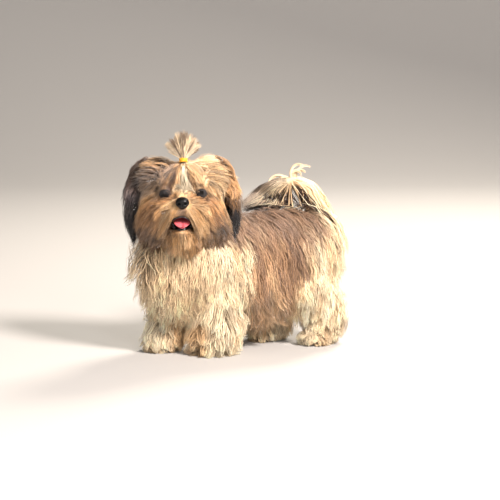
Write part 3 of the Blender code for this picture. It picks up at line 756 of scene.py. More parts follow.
def tail_along(points):
    """-1 for what lies before the top of the arch as the photo shows it, 1 for what lies behind."""
    return np.tanh(tail_right(points) / 1.2)


def tail_lead(points):
    """The way that the tail's hair sets out: on past the bones' end, and back over the rump."""
    x, _, z = points.T
    high = ramp(z, 23, 29)
    side = np.tanh((x - 0.8) / 0.8)
    behind = stacked(0.2 + 0.4 * high + 0.25 * side, 0.15 + 0.6 * high, -0.5 + high)
    ahead = stacked(-0.5 + 0.3 * side, -1.0, 0.25)
    return mixed(ahead, behind, ramp(tail_along(points), -0.5, 0.3))


def tail_lie(points):
    """Falling: behind the arch back over the rump, before it forward along the back."""
    _, y, z = points.T
    inner = 1 - ramp(tail_right(points), 1, 6)
    behind = stacked(0.06 + 0.25 * inner, 0.2 + 0.5 * inner, -1.0)
    under = ramp(y, 7.2, 8.2) * (1 - ramp(z, 28.6, 29.1))
    ahead = mixed(np.array((-0.3, -0.66, -0.62)), np.array((-0.1, -0.1, -1.0)), under)
    return mixed(ahead, behind, ramp(tail_along(points), -0.7, -0.1))


# Strands. What a region's plan says unless it says otherwise: its own forms and the others that
# it lies over, how it stands, strays, rises and clings, how its clumps wave, and its tones: root
# is the painted shade at a strand's root, and tip how light its tip is.
USUAL = dict(
    others=[], other_share=0.7, blend=1.0, lead=None, stand=0.7, inertia=0.45, stray=0.08, rise=1.7,
    flick=0.0, fade=None, cling=0.6, clump=0.6, clump_size=12, wave=0.12, wavelength=3.5,
    levels=(0.3, 1.0), top=0.7, thin_at=None, mottle=0.15, root=0.7, tip=1.12, tip_by_place=False,
)
ROOT_DEPTH = 0.15  # how far under the skin a strand starts
GROUND = 0.12  # how near the floor a strand may come
TONE_SPREAD = 0.16  # how much single strands differ in tone
TONE_RANGE = (0.4, 1.45)
SHORTEST = 0.22  # a strand that a window leaves less of than this share is left out
PIECE_TRIANGLES = 190000


def combed(plan, roots, normals, reach, level, chance):
    """The path of each strand, from under its root to its tip."""
    steps, lie = plan["steps"], plan["lie"]
    stray = chance.normal(0, plan["stray"], (len(roots), 3))
    path, outs = [roots - ROOT_DEPTH * normals], [normals]
    way = units(plan["stand"] * normals + units((plan["lead"] or lie)(roots)))
    for index in range(1, steps + 1):
        way = units(plan["inertia"] * way + units(lie(path[-1])) + stray)
        at = path[-1] + (reach / steps)[:, None] * way
        share = level * min(1.0, plan["rise"] * index / steps)
        share = share + plan["flick"] * (index / steps) ** 3
        if plan["fade"]:
            share = share * plan["fade"](at)

        def distance(points):
            value = field(plan["own"], points, share, plan["blend"])
            if plan["others"]:
                other = field(plan["others"], points, plan["other_share"], plan["blend"])
                value = np.minimum(value, other)
            return value

        value, out = sounded(distance, at)
        hangs = np.clip(1 + 2 * out[:, 2], 0, 1)
        pull = np.where(value < 0, 1.0, plan["cling"] * hangs)
        at = at - (pull * value)[:, None] * out
        at[:, 2] = np.maximum(at[:, 2], GROUND)
        path.append(at)
        outs.append(out)
    return np.stack(path, axis=1), np.stack(outs, axis=1)


def clumped(paths, roots, reach, plan, chance):
    """Draws strands together towards their tips, and gives each clump its own wave."""
    count = len(paths)
    steps = plan["steps"]
    guides = chance.permutation(count)[: max(1, int(count / plan["clump_size"]))]
    finder = KDTree(len(guides))
    for index in guides:
        finder.insert(roots[index], int(index))
    finder.balance()
    guide = np.array([finder.find(place)[1] for place in roots])
    t = np.linspace(0, 1, steps + 1)
    pull = plan["clump"] * t**1.4
    paths = paths + pull[None, :, None] * (paths[guide] - paths)
    along = units(paths[:, -1] - paths[:, 0])
    ways = units(np.cross(along, chance.normal(size=(count, 3))[guide]))
    other = np.cross(along, ways)
    turns = reach[guide] / plan["wavelength"] * chance.uniform(0.75, 1.25, count)[guide]
    phase = chance.uniform(0, 2 * math.pi, count)[guide] + chance.normal(0, 0.35, count)
    angle = 2 * math.pi * turns[:, None] * t[None, :] + phase[:, None]
    size = plan["wave"] * t[None, :] ** 0.8 * chance.uniform(0.6, 1.4, count)[:, None]
    bend = np.sin(angle) - np.sin(phase)[:, None]
    roll = 0.5 * (np.cos(angle) - np.cos(phase)[:, None])
    paths = paths + (size * bend)[..., None] * ways[:, None] + (size * roll)[..., None] * other[:, None]
    paths[..., 2] = np.maximum(paths[..., 2], 0.1)
    return paths, guide


def resampled(paths, spots):
    """Points on the paths at these places, each counted in the path's own points."""
    low = np.minimum(spots.astype(int), paths.shape[1] - 2)
    rest = (spots - low)[..., None]
    row = np.arange(len(paths))[:, None]
    return (1 - rest) * paths[row, low] + rest * paths[row, low + 1]


def held_back(paths, windows):
    """Shortens strands so that they end before they cross a window in the face."""
    last = paths.shape[1] - 1
    fine = 4 * last + 1
    dense = resampled(paths, np.linspace(0, last, fine)[None])
    local = in_head(dense.reshape(-1, 3)).reshape(dense.shape)
    inside = np.zeros(dense.shape[:2], bool)
    for (x, z), (wide, high), ahead in windows:
        across = ((local[..., 0] - x) / wide) ** 2 + ((local[..., 2] - z) / high) ** 2
        inside |= (across < 1) & (local[..., 1] < ahead)
    first = np.where(inside.any(axis=1), inside.argmax(axis=1), fine)
    part = np.clip((first - 1) / (fine - 1), 0, 1)
    return resampled(paths, part[:, None] * np.linspace(0, last, last + 1)[None]), part


# Windows in the face, as (x, z), (half width, half height) and the y that they are ahead of.
WINDOWS = (
    ((-0.3, -4.2), (1.75, 1.42), -4.2),
    ((0.0, -0.7), (1.15, 0.95), -6.6),
    ((3.27, 0.7), (0.8, 0.28), -4.2),
    ((-3.27, 0.7), (0.8, 0.28), -4.2),
)

# Where the coat lies close: a centre, how near it lies flat, and how far on it is full.
CLOSE = ((EYES[1], 1.3, 2.6), (EYES[-1], 1.3, 2.6), (NOSE_AT, 1.3, 2.2), (MOUTH_AT, 2.2, 2.2))

# Painted shade: strands are darker and warmer at their roots, deep in the coat.
ROOT_SHADE_TINT = np.array((1.0, 0.93, 0.85))
SECTION = np.array(((1.0, -0.6), (0.0, 1.0), (-1.0, -0.6)))
FLAT = 0.45  # a strand's thickness as a share of its width
BAKE_SPREAD = 0.004  # how far tufts that share a root lie apart on the bake map
PATCH = 0.003  # how wide each strand's patch is on the bake map


def strand_mesh(name, paths, outs, widths, tints, places):
    """One mesh of closed three-sided strands that taper to their tips."""
    count, points = paths.shape[0], paths.shape[1]
    last = points - 1
    along = units(np.gradient(paths, axis=1))
    across = units(np.cross(along, outs))
    over = units(np.cross(across, along))
    t = np.arange(last) / last
    taper = np.where(t < 0.3, 0.65 + 1.2 * t, 1.01 - 0.75 * ((t - 0.3) / 0.7) ** 1.6)
    size = widths[:, None] * taper[None, :] / 2
    rings, shades = [], []
    for x, y in SECTION:
        offset = across[:, :last] * (x * size)[..., None] + over[:, :last] * (y * FLAT * size)[..., None]
        rings.append(paths[:, :last] + offset)
        shades.append(units(0.75 * outs[:, :last] + 0.65 * (across[:, :last] * x + over[:, :last] * y)))
    rings = np.stack(rings, axis=2).reshape(count, 3 * last, 3)
    shades = np.stack(shades, axis=2).reshape(count, 3 * last, 3)
    verts = np.concatenate([rings, paths[:, last:]], axis=1)
    shades = np.concatenate([shades, outs[:, last:]], axis=1)
    faces, totals = [0, 1, 2], [3]
    for ring in range(last - 1):
        for k in range(3):
            after = (k + 1) % 3
            faces += [3 * ring + k, 3 * ring + 3 + k, 3 * ring + 3 + after, 3 * ring + after]
            totals.append(4)
    for k in range(3):
        faces += [3 * last - 3 + k, 3 * last, 3 * last - 3 + (k + 1) % 3]
        totals.append(3)
    size_of = 3 * last + 1
    loops = (np.array(faces)[None] + size_of * np.arange(count)[:, None]).ravel()
    totals = np.tile(totals, count)
    starts = np.concatenate([[0], np.cumsum(totals)[:-1]])
    mesh = bpy.data.meshes.new(name)
    mesh.vertices.add(count * size_of)
    mesh.vertices.foreach_set("co", verts.reshape(-1, 3).ravel())
    mesh.loops.add(len(loops))
    mesh.loops.foreach_set("vertex_index", loops)
    mesh.polygons.add(len(starts))
    mesh.polygons.foreach_set("loop_start", starts)
    mesh.polygons.foreach_set("use_smooth", np.ones(len(starts), bool))
    mesh.update(calc_edges=True)
    mesh.validate()
    # The bake map: a small patch at the root's place, its rings up and its corners across.
    level = np.append(np.repeat(np.arange(last), 3), last) / last
    columns = np.append(np.tile((0.0, 0.5, 1.0), last), 0.5)
    cell = np.stack([columns, level], axis=1) - 0.5
    spots = places[:, None, :] + PATCH * cell[None]
    layer = mesh.uv_layers.new(name="OFBake")
    layer.data.foreach_set("uv", spots.reshape(-1, 2)[loops].ravel())
    # Each strand's tint runs from the painted shade at its root to its tip.
    root_tint, tip_tint = tints
    colours = root_tint[:, None] + level[None, :, None] * (tip_tint - root_tint)[:, None]
    colour_layer(mesh, colours.reshape(-1, 3))
    mesh.normals_split_custom_set_from_vertices(shades.reshape(-1, 3))
    return mesh


def strands(name, plan, triangles, group, chance):
    """Roots, combs and colours the strands of one region, and makes its pieces."""
    corners, normals, areas, places = triangles
    centres = corners.mean(axis=1)
    here = np.flatnonzero(group == GROUPS.index(name))
    density = plan["density"](centres[here]) * areas[here] * THIN
    total = density.sum()
    count = int(total)
    if count < 2:
        return []
    marks = (np.arange(count) + chance.random(count)) / count * total
    face = here[np.minimum(np.searchsorted(np.cumsum(density), marks), len(here) - 1)]
    u, v = chance.random(count), chance.random(count)
    over = u + v > 1
    u[over], v[over] = 1 - u[over], 1 - v[over]
    weights = np.stack([1 - u - v, u, v], axis=1)
    roots = (corners[face] * weights[..., None]).sum(axis=1)
    root_places = (places[face] * weights[..., None]).sum(axis=1)
    outward = normals[face]
    reach = plan["reach"](roots) * chance.uniform(0.8, 1.15, count)
    level = chance.uniform(*plan["levels"], count) ** plan["top"]
    paths, outs = combed(plan, roots, outward, reach, level, chance)
    paths, guide = clumped(paths, roots, reach, plan, chance)
    keep = np.ones(count, bool)
    if name in ("head", "jaw"):
        paths, part = held_back(paths, WINDOWS)
        keep = part > SHORTEST
    width = plan["width"] * chance.uniform(0.75, 1.25, count)
    if plan["thin_at"]:
        width = width * plan["thin_at"](roots)
    tone = 1 + TONE_SPREAD * chance.normal(size=count)
    tone = tone + plan["mottle"] * chance.normal(size=count)[guide]
    tone = np.clip(tone, *TONE_RANGE)[:, None]
    base = COLOUR_OF[name](roots) * tone
    tip = base * plan["tip"]
    if plan["tip_by_place"]:
        tip = COLOUR_OF[name](paths[:, -2]) * tone
    # Painted shade at the root: darker by the plan's root share, and warmer.
    root = base * plan["root"] * ROOT_SHADE_TINT
    paths, outs, width, root, tip = (values[keep] for values in (paths, outs, width, root, tip))
    root_places, count = root_places[keep], int(keep.sum())
    per_piece = PIECE_TRIANGLES // (6 * plan["steps"] - 2)
    made = []
    for index, start in enumerate(range(0, count, per_piece)):
        some = slice(start, start + per_piece)
        mesh = strand_mesh(
            f"coat_{name}_{index + 1}", paths[some], outs[some], width[some],
            (root[some], tip[some]), root_places[some],
        )
        made.append(link(mesh.name, mesh))
    return made


def even(value):
    return lambda points: np.full(len(points), float(value))


def face_fade(points):
    """The coat lies close round the eyes, the nose and the mouth."""
    local = in_head(points)
    x, y, z = local.T
    share = np.ones(len(points))
    for centre, near, far in CLOSE:
        share = share * np.clip((lengths(local - np.array(centre)) - near) / far, 0.02, 1)
    cheek = ramp(-z, -2.5, 0.0) * (1 - ramp(y, 1.0, 3.0))
    share = share * (1 - 0.22 * ramp(z, 3.0, 5.5))
    return share * (1 - 0.95 * cheek * ramp(x, 3.6, 5.6)) * (1 - 0.3 * cheek * ramp(-x, 4.0, 6.0))


def ear_fade(points):
    """The ear's coat lies flat at its root, under the crown's hair."""
    return 1 - 0.7 * ramp(in_head(points)[:, 2], 2.5, 4.5)


def off_mouth(p):
    """0 in the mouth and 1 round it."""
    return 1 - patch(p, MOUTH_AT, np.array(MOUTH) * 1.04, 0.05)


def head_density(points):
    p = in_head(points)
    dense = 27 + 37 * ramp(-p[:, 1], 2.0, 4.5)
    for eye in EYES.values():
        dense = dense * (1 - patch(p, np.array(eye) + (0, -1.0, 0), (0.95, 1.5, 0.7), 0.1))
    return dense * off_mouth(p) * (1 - patch(p, NOSE_AT, (1.2, 1.2, 1.0), 0.1))


def head_reach(points):
    p = in_head(points)
    x, y, z = p.T
    to_band = np.clip(lengths(p - np.array(BAND_AT)), 1.0, 6.0)
    reach = 5.2 + on_brow(p) * (to_band - 5.2)
    moustache = 1.6 + 2.6 * ramp(np.abs(x), 0.5, 1.8) - 0.9 * ramp(z, -2.4, -0.6)
    reach = reach + ramp(-y, 3.8, 5.2) * (moustache - reach)
    near_eye = np.minimum(lengths(p - np.array(EYES[1])), lengths(p - np.array(EYES[-1])))
    return reach * (0.35 + 0.65 * ramp(near_eye, 1.2, 2.8))


def jaw_density(points):
    return 46 * off_mouth(in_head(points))


def jaw_reach(points):
    return 1.2 + 1.9 * ramp(-in_head(points)[:, 2], 5.7, 7.0)


def head_thin(points):
    return 1 - 0.4 * ramp(-in_head(points)[:, 1], 2.5, 5.5)


def leg_reach(points):
    return np.clip(points[:, 2] * 0.8, 1.2, 5.4)


def tail_reach(points):
    return 10.5 - 2.0 * (1 - ramp(tail_along(points), -0.9, -0.2))


def torso_reach(points):
    return 6.8 - 1.6 * ramp(-points[:, 1], 6, 11)


def leg_fade(points):
    """The legs' coat sinks into the body's towards the top, so that no edge shows."""
    return 1 - 0.75 * ramp(points[:, 2], 9.0, 15.0)


def leg_density(points):
    z = points[:, 2]
    return np.where(z < 0.25, 0.0, 15.5 + 15.5 * ramp(-z, -4.0, -1.5))


def plans():
    legs = [form for part in LEG_FORMS.values() for form in part]
    trunk = NECK_FORMS + TORSO_FORMS
    made = {
        "torso": dict(
            own=TORSO_FORMS, others=legs, other_share=0.75, lie=torso_lie, steps=5,
            density=lambda p: 12 + 7 * ramp(-p[:, 1], 6, 11), reach=torso_reach, width=0.115,
            wave=0.3, wavelength=2.6, clump=0.66, clump_size=15, stray=0.13, flick=0.08, root=0.5,
            rise=3.5, top=0.5, levels=(0.25, 0.9),
        ),
        "neck": dict(
            own=trunk, lie=torso_lie, steps=5, density=even(11), reach=even(6.0), width=0.14,
            wave=0.18, clump_size=16, cling=0.7,
        ),
        "head": dict(
            own=HEAD_FORMS, others=trunk, other_share=0.6, lie=head_lie, steps=4, fade=face_fade,
            density=head_density, reach=head_reach, width=0.105, thin_at=head_thin, wave=0.14,
            wavelength=4.0, clump=0.7, clump_size=20, stand=0.35, stray=0.1, mottle=0.3,
            flick=0.12, root=0.55,
        ),
        "jaw": dict(
            own=JAW_FORMS, others=trunk, lie=jaw_lie, steps=5, fade=face_fade, density=jaw_density,
            reach=jaw_reach, width=0.11, wave=0.1, clump_size=16, cling=0.3, stand=0.4,
        ),
        "tail": dict(
            own=TAIL_FORMS, others=TORSO_FORMS, other_share=1.0, lie=tail_lie, lead=tail_lead,
            # More strands under the tail's arch fill it with its painted dark brown shade.
            steps=7, density=lambda p: 36 + 60 * painted_shade_under_arch(p), reach=tail_reach, width=0.13,
            wave=0.26, wavelength=5.5, clump_size=22, cling=0.0, levels=(0.2, 1.0), stand=0.5,
            stray=0.07, inertia=0.9, root=0.8,
        ),
    }
    for side, word in SIDES:
        made[f"ear_{word}"] = dict(
            own=EAR_FORMS[side], others=HEAD_FORMS + trunk, other_share=0.8, lie=ear_lie, steps=5,
            density=even(34), reach=even(4.4), width=0.11, wave=0.2, wavelength=3.6, clump_size=16,
            cling=0.4, stray=0.12, tip_by_place=True, mottle=0.3, fade=ear_fade,
        )
    for name in FEET:
        made[name] = dict(
            own=FORMS[name], lie=leg_lie, steps=4, density=leg_density, reach=leg_reach,
            width=0.12, thin_at=lambda p: 0.65 + 0.35 * ramp(p[:, 2], 1.0, 4.0), wave=0.28,
            wavelength=2.4, clump=0.75, clump_size=20, cling=0.4, stray=0.13, fade=leg_fade,
            flick=0.1, root=0.5,
        )
    return {name: {**USUAL, **plan} for name, plan in made.items()}


# Materials.


def fill_inputs(node, values):
    for key, value in values.items():
        node.inputs[key.replace("_", " ")].default_value = value
    return node


def new_material(name, roughness, **sockets):
    made = bpy.data.materials.new(name)
    made.use_nodes = True
    shader = made.node_tree.nodes["Principled BSDF"]
    fill_inputs(shader, dict(sockets, Roughness=roughness))
    return made, made.node_tree, shader


def added(tree, kind, **inputs):
    return fill_inputs(tree.nodes.new(kind), inputs)


def bumped(tree, shader, height, strength, distance):
    """Lets a texture roughen the surface, and gives its bump node."""
    bump = added(tree, "ShaderNodeBump", Strength=strength, Distance=distance)
    tree.links.new(height, bump.inputs["Height"])
    tree.links.new(bump.outputs["Normal"], shader.inputs["Normal"])
    return bump


def tinted_material(name, roughness, grain=0.2, scale=400.0, bump=0.0, **sockets):
    """A material coloured by the mesh's own tint, with a fine grain in its tone."""
    made, tree, shader = new_material(name, roughness, **sockets)
    join = tree.links.new
    tint = added(tree, "ShaderNodeAttribute")
    tint.attribute_name = "tint"
    place = added(tree, "ShaderNodeTexCoord")
    noise = added(tree, "ShaderNodeTexNoise", Scale=scale, Detail=4)
    join(place.outputs["Object"], noise.inputs["Vector"])
    tone = added(tree, "ShaderNodeMapRange", To_Min=1 - grain, To_Max=1 + grain)
    join(noise.outputs["Fac"], tone.inputs["Value"])
    scaled = added(tree, "ShaderNodeVectorMath")
    scaled.operation = "SCALE"
    join(tint.outputs["Color"], scaled.inputs[0])
    join(tone.outputs["Result"], scaled.inputs["Scale"])
    join(scaled.outputs["Vector"], shader.inputs["Base Color"])
    if bump:
        bumped(tree, shader, noise.outputs["Fac"], bump, 0.0006)
    return made


def finished(obj, material, slot, *nodes):
    """Gives a piece its finish and its place on the frame, and hides the parts that it stands for."""
    obj.data.materials.clear()
    obj.data.materials.append(material)
    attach(obj, "root")
    if nodes:
        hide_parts(*nodes)


# Small pieces, in the head's frame.


def circle(count):
    return 2 * math.pi * np.arange(count) / count


def lofted(bm, rings, endless=False):
    """Joins rings of places into a closed tube; a last ring of one place is its tip."""
    made = [[bm.verts.new(place) for place in ring] for ring in rings]
    for lower, upper in zip(made, made[1:] + made[:1] * endless):
        for k, corner in enumerate(lower):
            after = (k + 1) % len(lower)
            if len(upper) == 1:
                bm.faces.new((corner, lower[after], upper[0]))
            else:
                bm.faces.new((corner, lower[after], upper[after], upper[k]))
    if not endless:
        bm.faces.new(made[0])
        if len(made[-1]) > 1:
            bm.faces.new(made[-1][::-1])


def smooth_piece(name, mesh):
    mesh.shade_smooth()
    return link(name, mesh)


def closed_mesh(bm, name):
    """The mesh of closed shapes, with their faces turned outward."""
    bmesh.ops.recalc_face_normals(bm, faces=bm.faces[:])
    return mesh_from(bm, name)


def ring_tube(name, centres, outs, radii, sides=10):
    """A closed tube through a ring of points."""
    along = units(np.roll(centres, -1, axis=0) - np.roll(centres, 1, axis=0))
    across = units(np.cross(along, outs))
    over = np.cross(across, along)
    turn = circle(sides)
    ring = (
        across[:, None] * (np.cos(turn)[None] * radii[:, 0:1])[..., None]
        + over[:, None] * (np.sin(turn)[None] * radii[:, 1:2])[..., None]
    )
    bm = bmesh.new()
    lofted(bm, (centres[:, None] + ring).tolist(), endless=True)
    return smooth_piece(name, closed_mesh(bm, name))


def in_row(obj, frame_of=Matrix()):
    """Moves a mesh made in cm, in the dog's frame or the head's, to the row's frame in metres."""
    obj.data.transform(TO_ROW @ frame_of)
    return obj


def eye_piece(side, word):
    """An eyeball with a dark brown iris, a black pupil and a clear bulge over them."""
    bm = bmesh.new()
    bmesh.ops.create_uvsphere(bm, u_segments=64, v_segments=48, radius=1)
    mesh = mesh_from(bm, f"eyeball_{word}")
    points = mesh_points(mesh)
    # The sphere's pole looks ahead, and the iris is where it nears the pole.
    gaze = Vector((0.06 * side + 0.03, -1.0, 0.05))
    basis = np.array(gaze.to_track_quat("Z", "Y").to_matrix())
    off_axis = np.arccos(np.clip(points[:, 2], -1, 1))
    bulge = 0.05 * (1 - ramp(off_axis, 0.2, 0.75))
    points = points * (EYE_RADIUS * (1 + bulge))[:, None]
    spokes = 0.5 + 0.5 * np.sin(np.arctan2(points[:, 1], points[:, 0]) * 23)
    iris = mixed(srgb(84, 44, 30), srgb(140, 84, 58), spokes)
    colour = painted(
        srgb(206, 190, 180),
        (srgb(24, 14, 11), ramp(-off_axis, -0.72, -0.64)),
        (iris, ramp(-off_axis, -0.62, -0.54)),
        (srgb(6, 5, 6), ramp(-off_axis, -0.31, -0.26)),
    )
    set_points(mesh, points @ basis.T + np.array(EYES[side]))
    colour_layer(mesh, colour)
    return smooth_piece(f"eyeball_{word}", mesh)


def lid_piece(side, word):
    """The dark wet rim of the lids round an eye."""
    turn = circle(56)
    wide, high, slant = 0.82, 0.33, 0.28
    x = wide * np.cos(turn)
    z = high * np.sin(turn) * (0.92 - 0.12 * np.cos(turn) * side) - slant * side * x
    y = -np.sqrt(np.maximum((EYE_RADIUS * 1.06) ** 2 - x * x - z * z, 0.02))
    from_eye = stacked(x, y, z)
    thick = 0.085 + 0.03 * np.clip(np.sin(turn), 0, 1)
    radii = stacked(thick, thick * 0.9)
    return ring_tube(f"lids_{word}", from_eye + np.array(EYES[side]), units(from_eye), radii)


def mouth_ring():
    """Where the mouth's opening meets the skin, as points round it in the head's frame."""
    turn = circle(72)
    near, far = np.full(72, MOUTH_AT[1] - MOUTH[1] * 0.999), np.full(72, MOUTH_AT[1] + 0.4)
    for _ in range(30):
        y = (near + far) / 2
        narrow = np.sqrt(np.maximum(1 - ((y - MOUTH_AT[1]) / MOUTH[1]) ** 2, 0))
        x = MOUTH_AT[0] + MOUTH[0] * np.cos(turn) * narrow
        points = stacked(x, y, MOUTH_AT[2] + MOUTH[2] * np.sin(turn) * narrow)
        inside = outer_head(head_points(points)) < 0
        far = np.where(inside, y, far)
        near = np.where(inside, near, y)
    return turn, points


def lip_piece():
    turn, points = mouth_ring()
    outs = units(points - np.array(MOUTH_AT) - (0, 1.5, 0))
    thick = 0.15 + 0.2 * np.clip(-np.sin(turn), 0, 1)
    return ring_tube("lips", points, outs, stacked(thick, thick), 12)


def tongue_piece():
    """A broad tongue with a groove down its middle, its tip over the lower lip."""
    rows, around = 34, circle(40)
    rings = []
    for t in np.arange(rows + 1) / rows:
        z = -3.1 - 1.85 * t**1.2 - max(0.0, t - 0.75) ** 2
        tip = max(0.0, (t - 0.55) / 0.45)
        half = 1.5 * math.sqrt(max(1 - tip**2.4, 0.0)) * (0.8 + 0.2 * min(1, 2 * t))
        x, lift = half * np.cos(around), 0.3 * (1 - 0.45 * t) * np.sin(around)
        groove = 0.2 * np.exp(-((x / 0.16) ** 2)) * (lift > 0) * (0.4 + 0.6 * t)
        curl = 0.16 * np.cos(around) ** 2
        rings.append(stacked(x + TONGUE_SIDE, -3.7 - 3.5 * t, z + lift - groove + curl).tolist())
    bm = bmesh.new()
    lofted(bm, rings)
    bmesh.ops.remove_doubles(bm, verts=bm.verts[:], dist=0.004)
    mesh = closed_mesh(bm, "tongue_wet")
    x, y, _ = mesh_points(mesh).T
    # Painted shade: a darker red along the groove and towards the back of the mouth.
    deep = np.exp(-((x / 0.2) ** 2)) * 0.35 + 0.5 * ramp(y, -5.6, -4.0)
    colour_layer(mesh, mixed(PINK, srgb(176, 62, 74), deep))
    return smooth_piece("tongue_wet", mesh)


def nose_piece():
    """The black nose, with comma nostrils and a groove below."""
    bm = bmesh.new()
    bmesh.ops.create_icosphere(bm, subdivisions=6, radius=1)
    mesh = mesh_from(bm, "nose_leather")
    p = mesh_points(mesh)
    points = np.sign(p) * np.abs(p) ** np.array((0.9, 1.0, 0.88)) * np.array((1.22, 0.95, 1.08))
    points[:, 0] *= 1 - 0.2 * ramp(-points[:, 2], 0.0, 0.9)
    x, y, z = points.T
    push = 0.12 * np.exp(-((x / 0.07) ** 2)) * ramp(-z, -0.15, 0.2)
    for side in (-1, 1):
        push += 0.42 * np.exp(-(((x - side * 0.52) / 0.2) ** 2 + ((z + 0.1) / 0.17) ** 2))
        push += 0.25 * np.exp(-(((x - side * 0.86) / 0.2) ** 2 + ((z + 0.2) / 0.1) ** 2))
        push -= 0.07 * np.exp(-(((x - side * 0.5) / 0.4) ** 2 + ((z - 0.25) / 0.25) ** 2))
    points[:, 1] += push * ramp(-y, 0.1, 0.45)
    set_points(mesh, points + np.array(NOSE_AT))
    return smooth_piece("nose_leather", mesh)


def band_piece():
    """A yellow elastic wound four times round the gathered hair."""
    turns, count, around = 4, 160, circle(10)
    t = np.arange(count + 1) / count
    turn = 2 * math.pi * turns * t
    radius = 0.62 + 0.05 * np.sin(turn * 0.37 + 1)
    height = -0.3 + 0.6 * t + 0.05 * np.sin(turn * 1.7)
    centres = stacked(radius * np.cos(turn), radius * np.sin(turn) * 0.92, height)
    out, up = stacked(np.cos(turn), np.sin(turn), 0.0), np.array((0, 0, 1))
    thick = 0.13 * (1 + 0.1 * np.sin(3 * around + 0.8 * np.arange(count + 1)[:, None]))
    section = out[:, None] * np.cos(around)[:, None] + up * np.sin(around)[:, None]
    rings = centres[:, None] + thick[..., None] * section + np.array(BAND_AT)
    bm = bmesh.new()
    lofted(bm, rings.tolist())
    return smooth_piece("band_wound", closed_mesh(bm, "band_wound"))


def claw_pieces():
    """Dark claws that show between the hair of each foot."""
    bm = bmesh.new()
    rows, around = 7, circle(10)
    section = stacked(0.75 * np.cos(around), 0.2 * np.sin(around), np.sin(around))
    for foot in FEET.values():
        for toe in toe_forms(foot):
            root = np.array(toe["centre"]) + (0, -0.6, -0.1)
            rings = []
            for t in np.arange(rows) / rows:
                bent = root - (0, 0.75 * t, 0.5 * t * t)
                rings.append((bent + 0.2 * (1 - t) ** 0.7 * section).tolist())
            lofted(bm, rings + [[root - (0, 0.75, 0.52)]])
    return smooth_piece("claws", closed_mesh(bm, "claws"))


def places_round(place, count, chance):
    """Places close round one place on the bake map."""
    return np.tile(place, (count, 1)) + BAKE_SPREAD * chance.uniform(-1, 1, (count, 2))


def wisp_piece(chance, place):
    """Fine wisps that stand up from the top of the tail and curl over."""
    tufts, each, steps = 10, max(2, int(16 * THIN)), 10
    count = tufts * each
    tuft = np.repeat(np.arange(tufts), each)
    lean = chance.uniform(-1, 1, tufts)[tuft]
    curl = np.where(lean > -0.6, 1, -1) * chance.uniform(2.2, 3.6, tufts)[tuft]
    reach = chance.uniform(3.6, 6.0, tufts)[tuft] * chance.uniform(0.75, 1.05, count)
    turn = chance.uniform(-0.5, 0.5, tufts)[tuft]
    right = np.array(PHOTO_RIGHT)
    ahead = np.array((right[1], -right[0], 0.0))
    at = np.array(TAIL_BONES[3][:3]) + right * (0.9 * lean)[:, None] + (0, 0, 0.5)
    path = [at + 0.12 * chance.normal(size=(count, 3))]
    for index in range(1, steps + 1):
        bend = 0.2 * lean - 0.5 + curl * (index / steps) ** 1.2 + 0.03 * chance.normal(size=count)
        way = np.sin(bend)[:, None] * (right + turn[:, None] * ahead) + np.cos(bend)[:, None] * (0, 0, 1)
        path.append(path[-1] + (reach / steps)[:, None] * units(way))
    paths = np.stack(path, axis=1)
    middle = paths.reshape(tufts, each, steps + 1, 3).mean(axis=1)[tuft]
    paths = paths + 0.7 * np.linspace(0, 1, steps + 1)[None, :, None] * (middle - paths)
    outs = units(np.broadcast_to(ahead + (0, 0, 0.4), paths.shape))
    base = mixed(WHITE, CREAM, chance.uniform(0, 1, count))
    places = places_round(place, count, chance)
    width = 0.085 * chance.uniform(0.7, 1.2, count)
    # Painted shade: the wisps are darker at their roots.
    mesh = strand_mesh("coat_wisps", paths, outs, width, (base * 0.85, base), places)
    return link("coat_wisps", mesh)


def topknot_piece(chance, place):
    """The gathered forelock: it passes up through the band and fans out above it."""
    count, steps = int(2200 * THIN), 6
    side = chance.uniform(-1, 1, count)
    depth = chance.normal(0, 0.35, count)
    reach = (5.9 - 1.3 * np.abs(side)) * chance.uniform(0.7, 1.05, count)
    fan = 0.8 * side + 0.12 * chance.normal(size=count)
    bow = 0.35 * np.abs(side) ** 2 * np.sign(side)
    path = [stacked(0.4 * side, 0.35 * depth, -0.55)]
    for t in np.arange(1, steps + 1) / steps:
        free = ramp(t, 0.12, 0.45)
        angle = fan * free + 1.2 * bow * t * t * t
        way = stacked(np.sin(angle), 0.35 * depth * free, np.cos(angle))
        path.append(path[-1] + (reach / steps)[:, None] * units(way))
    paths = np.stack(path, axis=1)
    plan = dict(USUAL, steps=steps, clump=0.5, clump_size=26, wave=0.1, wavelength=4)
    paths, guide = clumped(paths, paths[:, 2] * 3, reach, plan, chance)
    paths = head_points((paths + np.array(BAND_AT)).reshape(-1, 3)).reshape(paths.shape)
    outs = np.broadcast_to(from_head(np.array((0.0, -1.0, 0.15))), paths.shape)
    outs = units(outs + 0.5 * from_head(chance.normal(size=(count, 1, 3))))
    stripe = chance.uniform(0, 1, count)[guide]
    base = mixed(WHITE, CREAM, chance.uniform(0, 1, count))
    base = painted(base * 0.86, (BROWN, (stripe > 0.66) * 0.8), (GREY, (stripe < 0.2) * 0.4))
    base = base * np.clip(1 + 0.12 * chance.normal(size=count), 0.6, 1.3)[:, None]
    width = 0.09 * chance.uniform(0.7, 1.2, count)
    places = places_round(place, count, chance)
    # Painted shade: the topknot is darker at its roots.
    mesh = strand_mesh("coat_topknot", paths, outs, width, (base * 0.8, base * 1.05), places)
    return link("coat_topknot", mesh)


# The camera, the floor and the light.


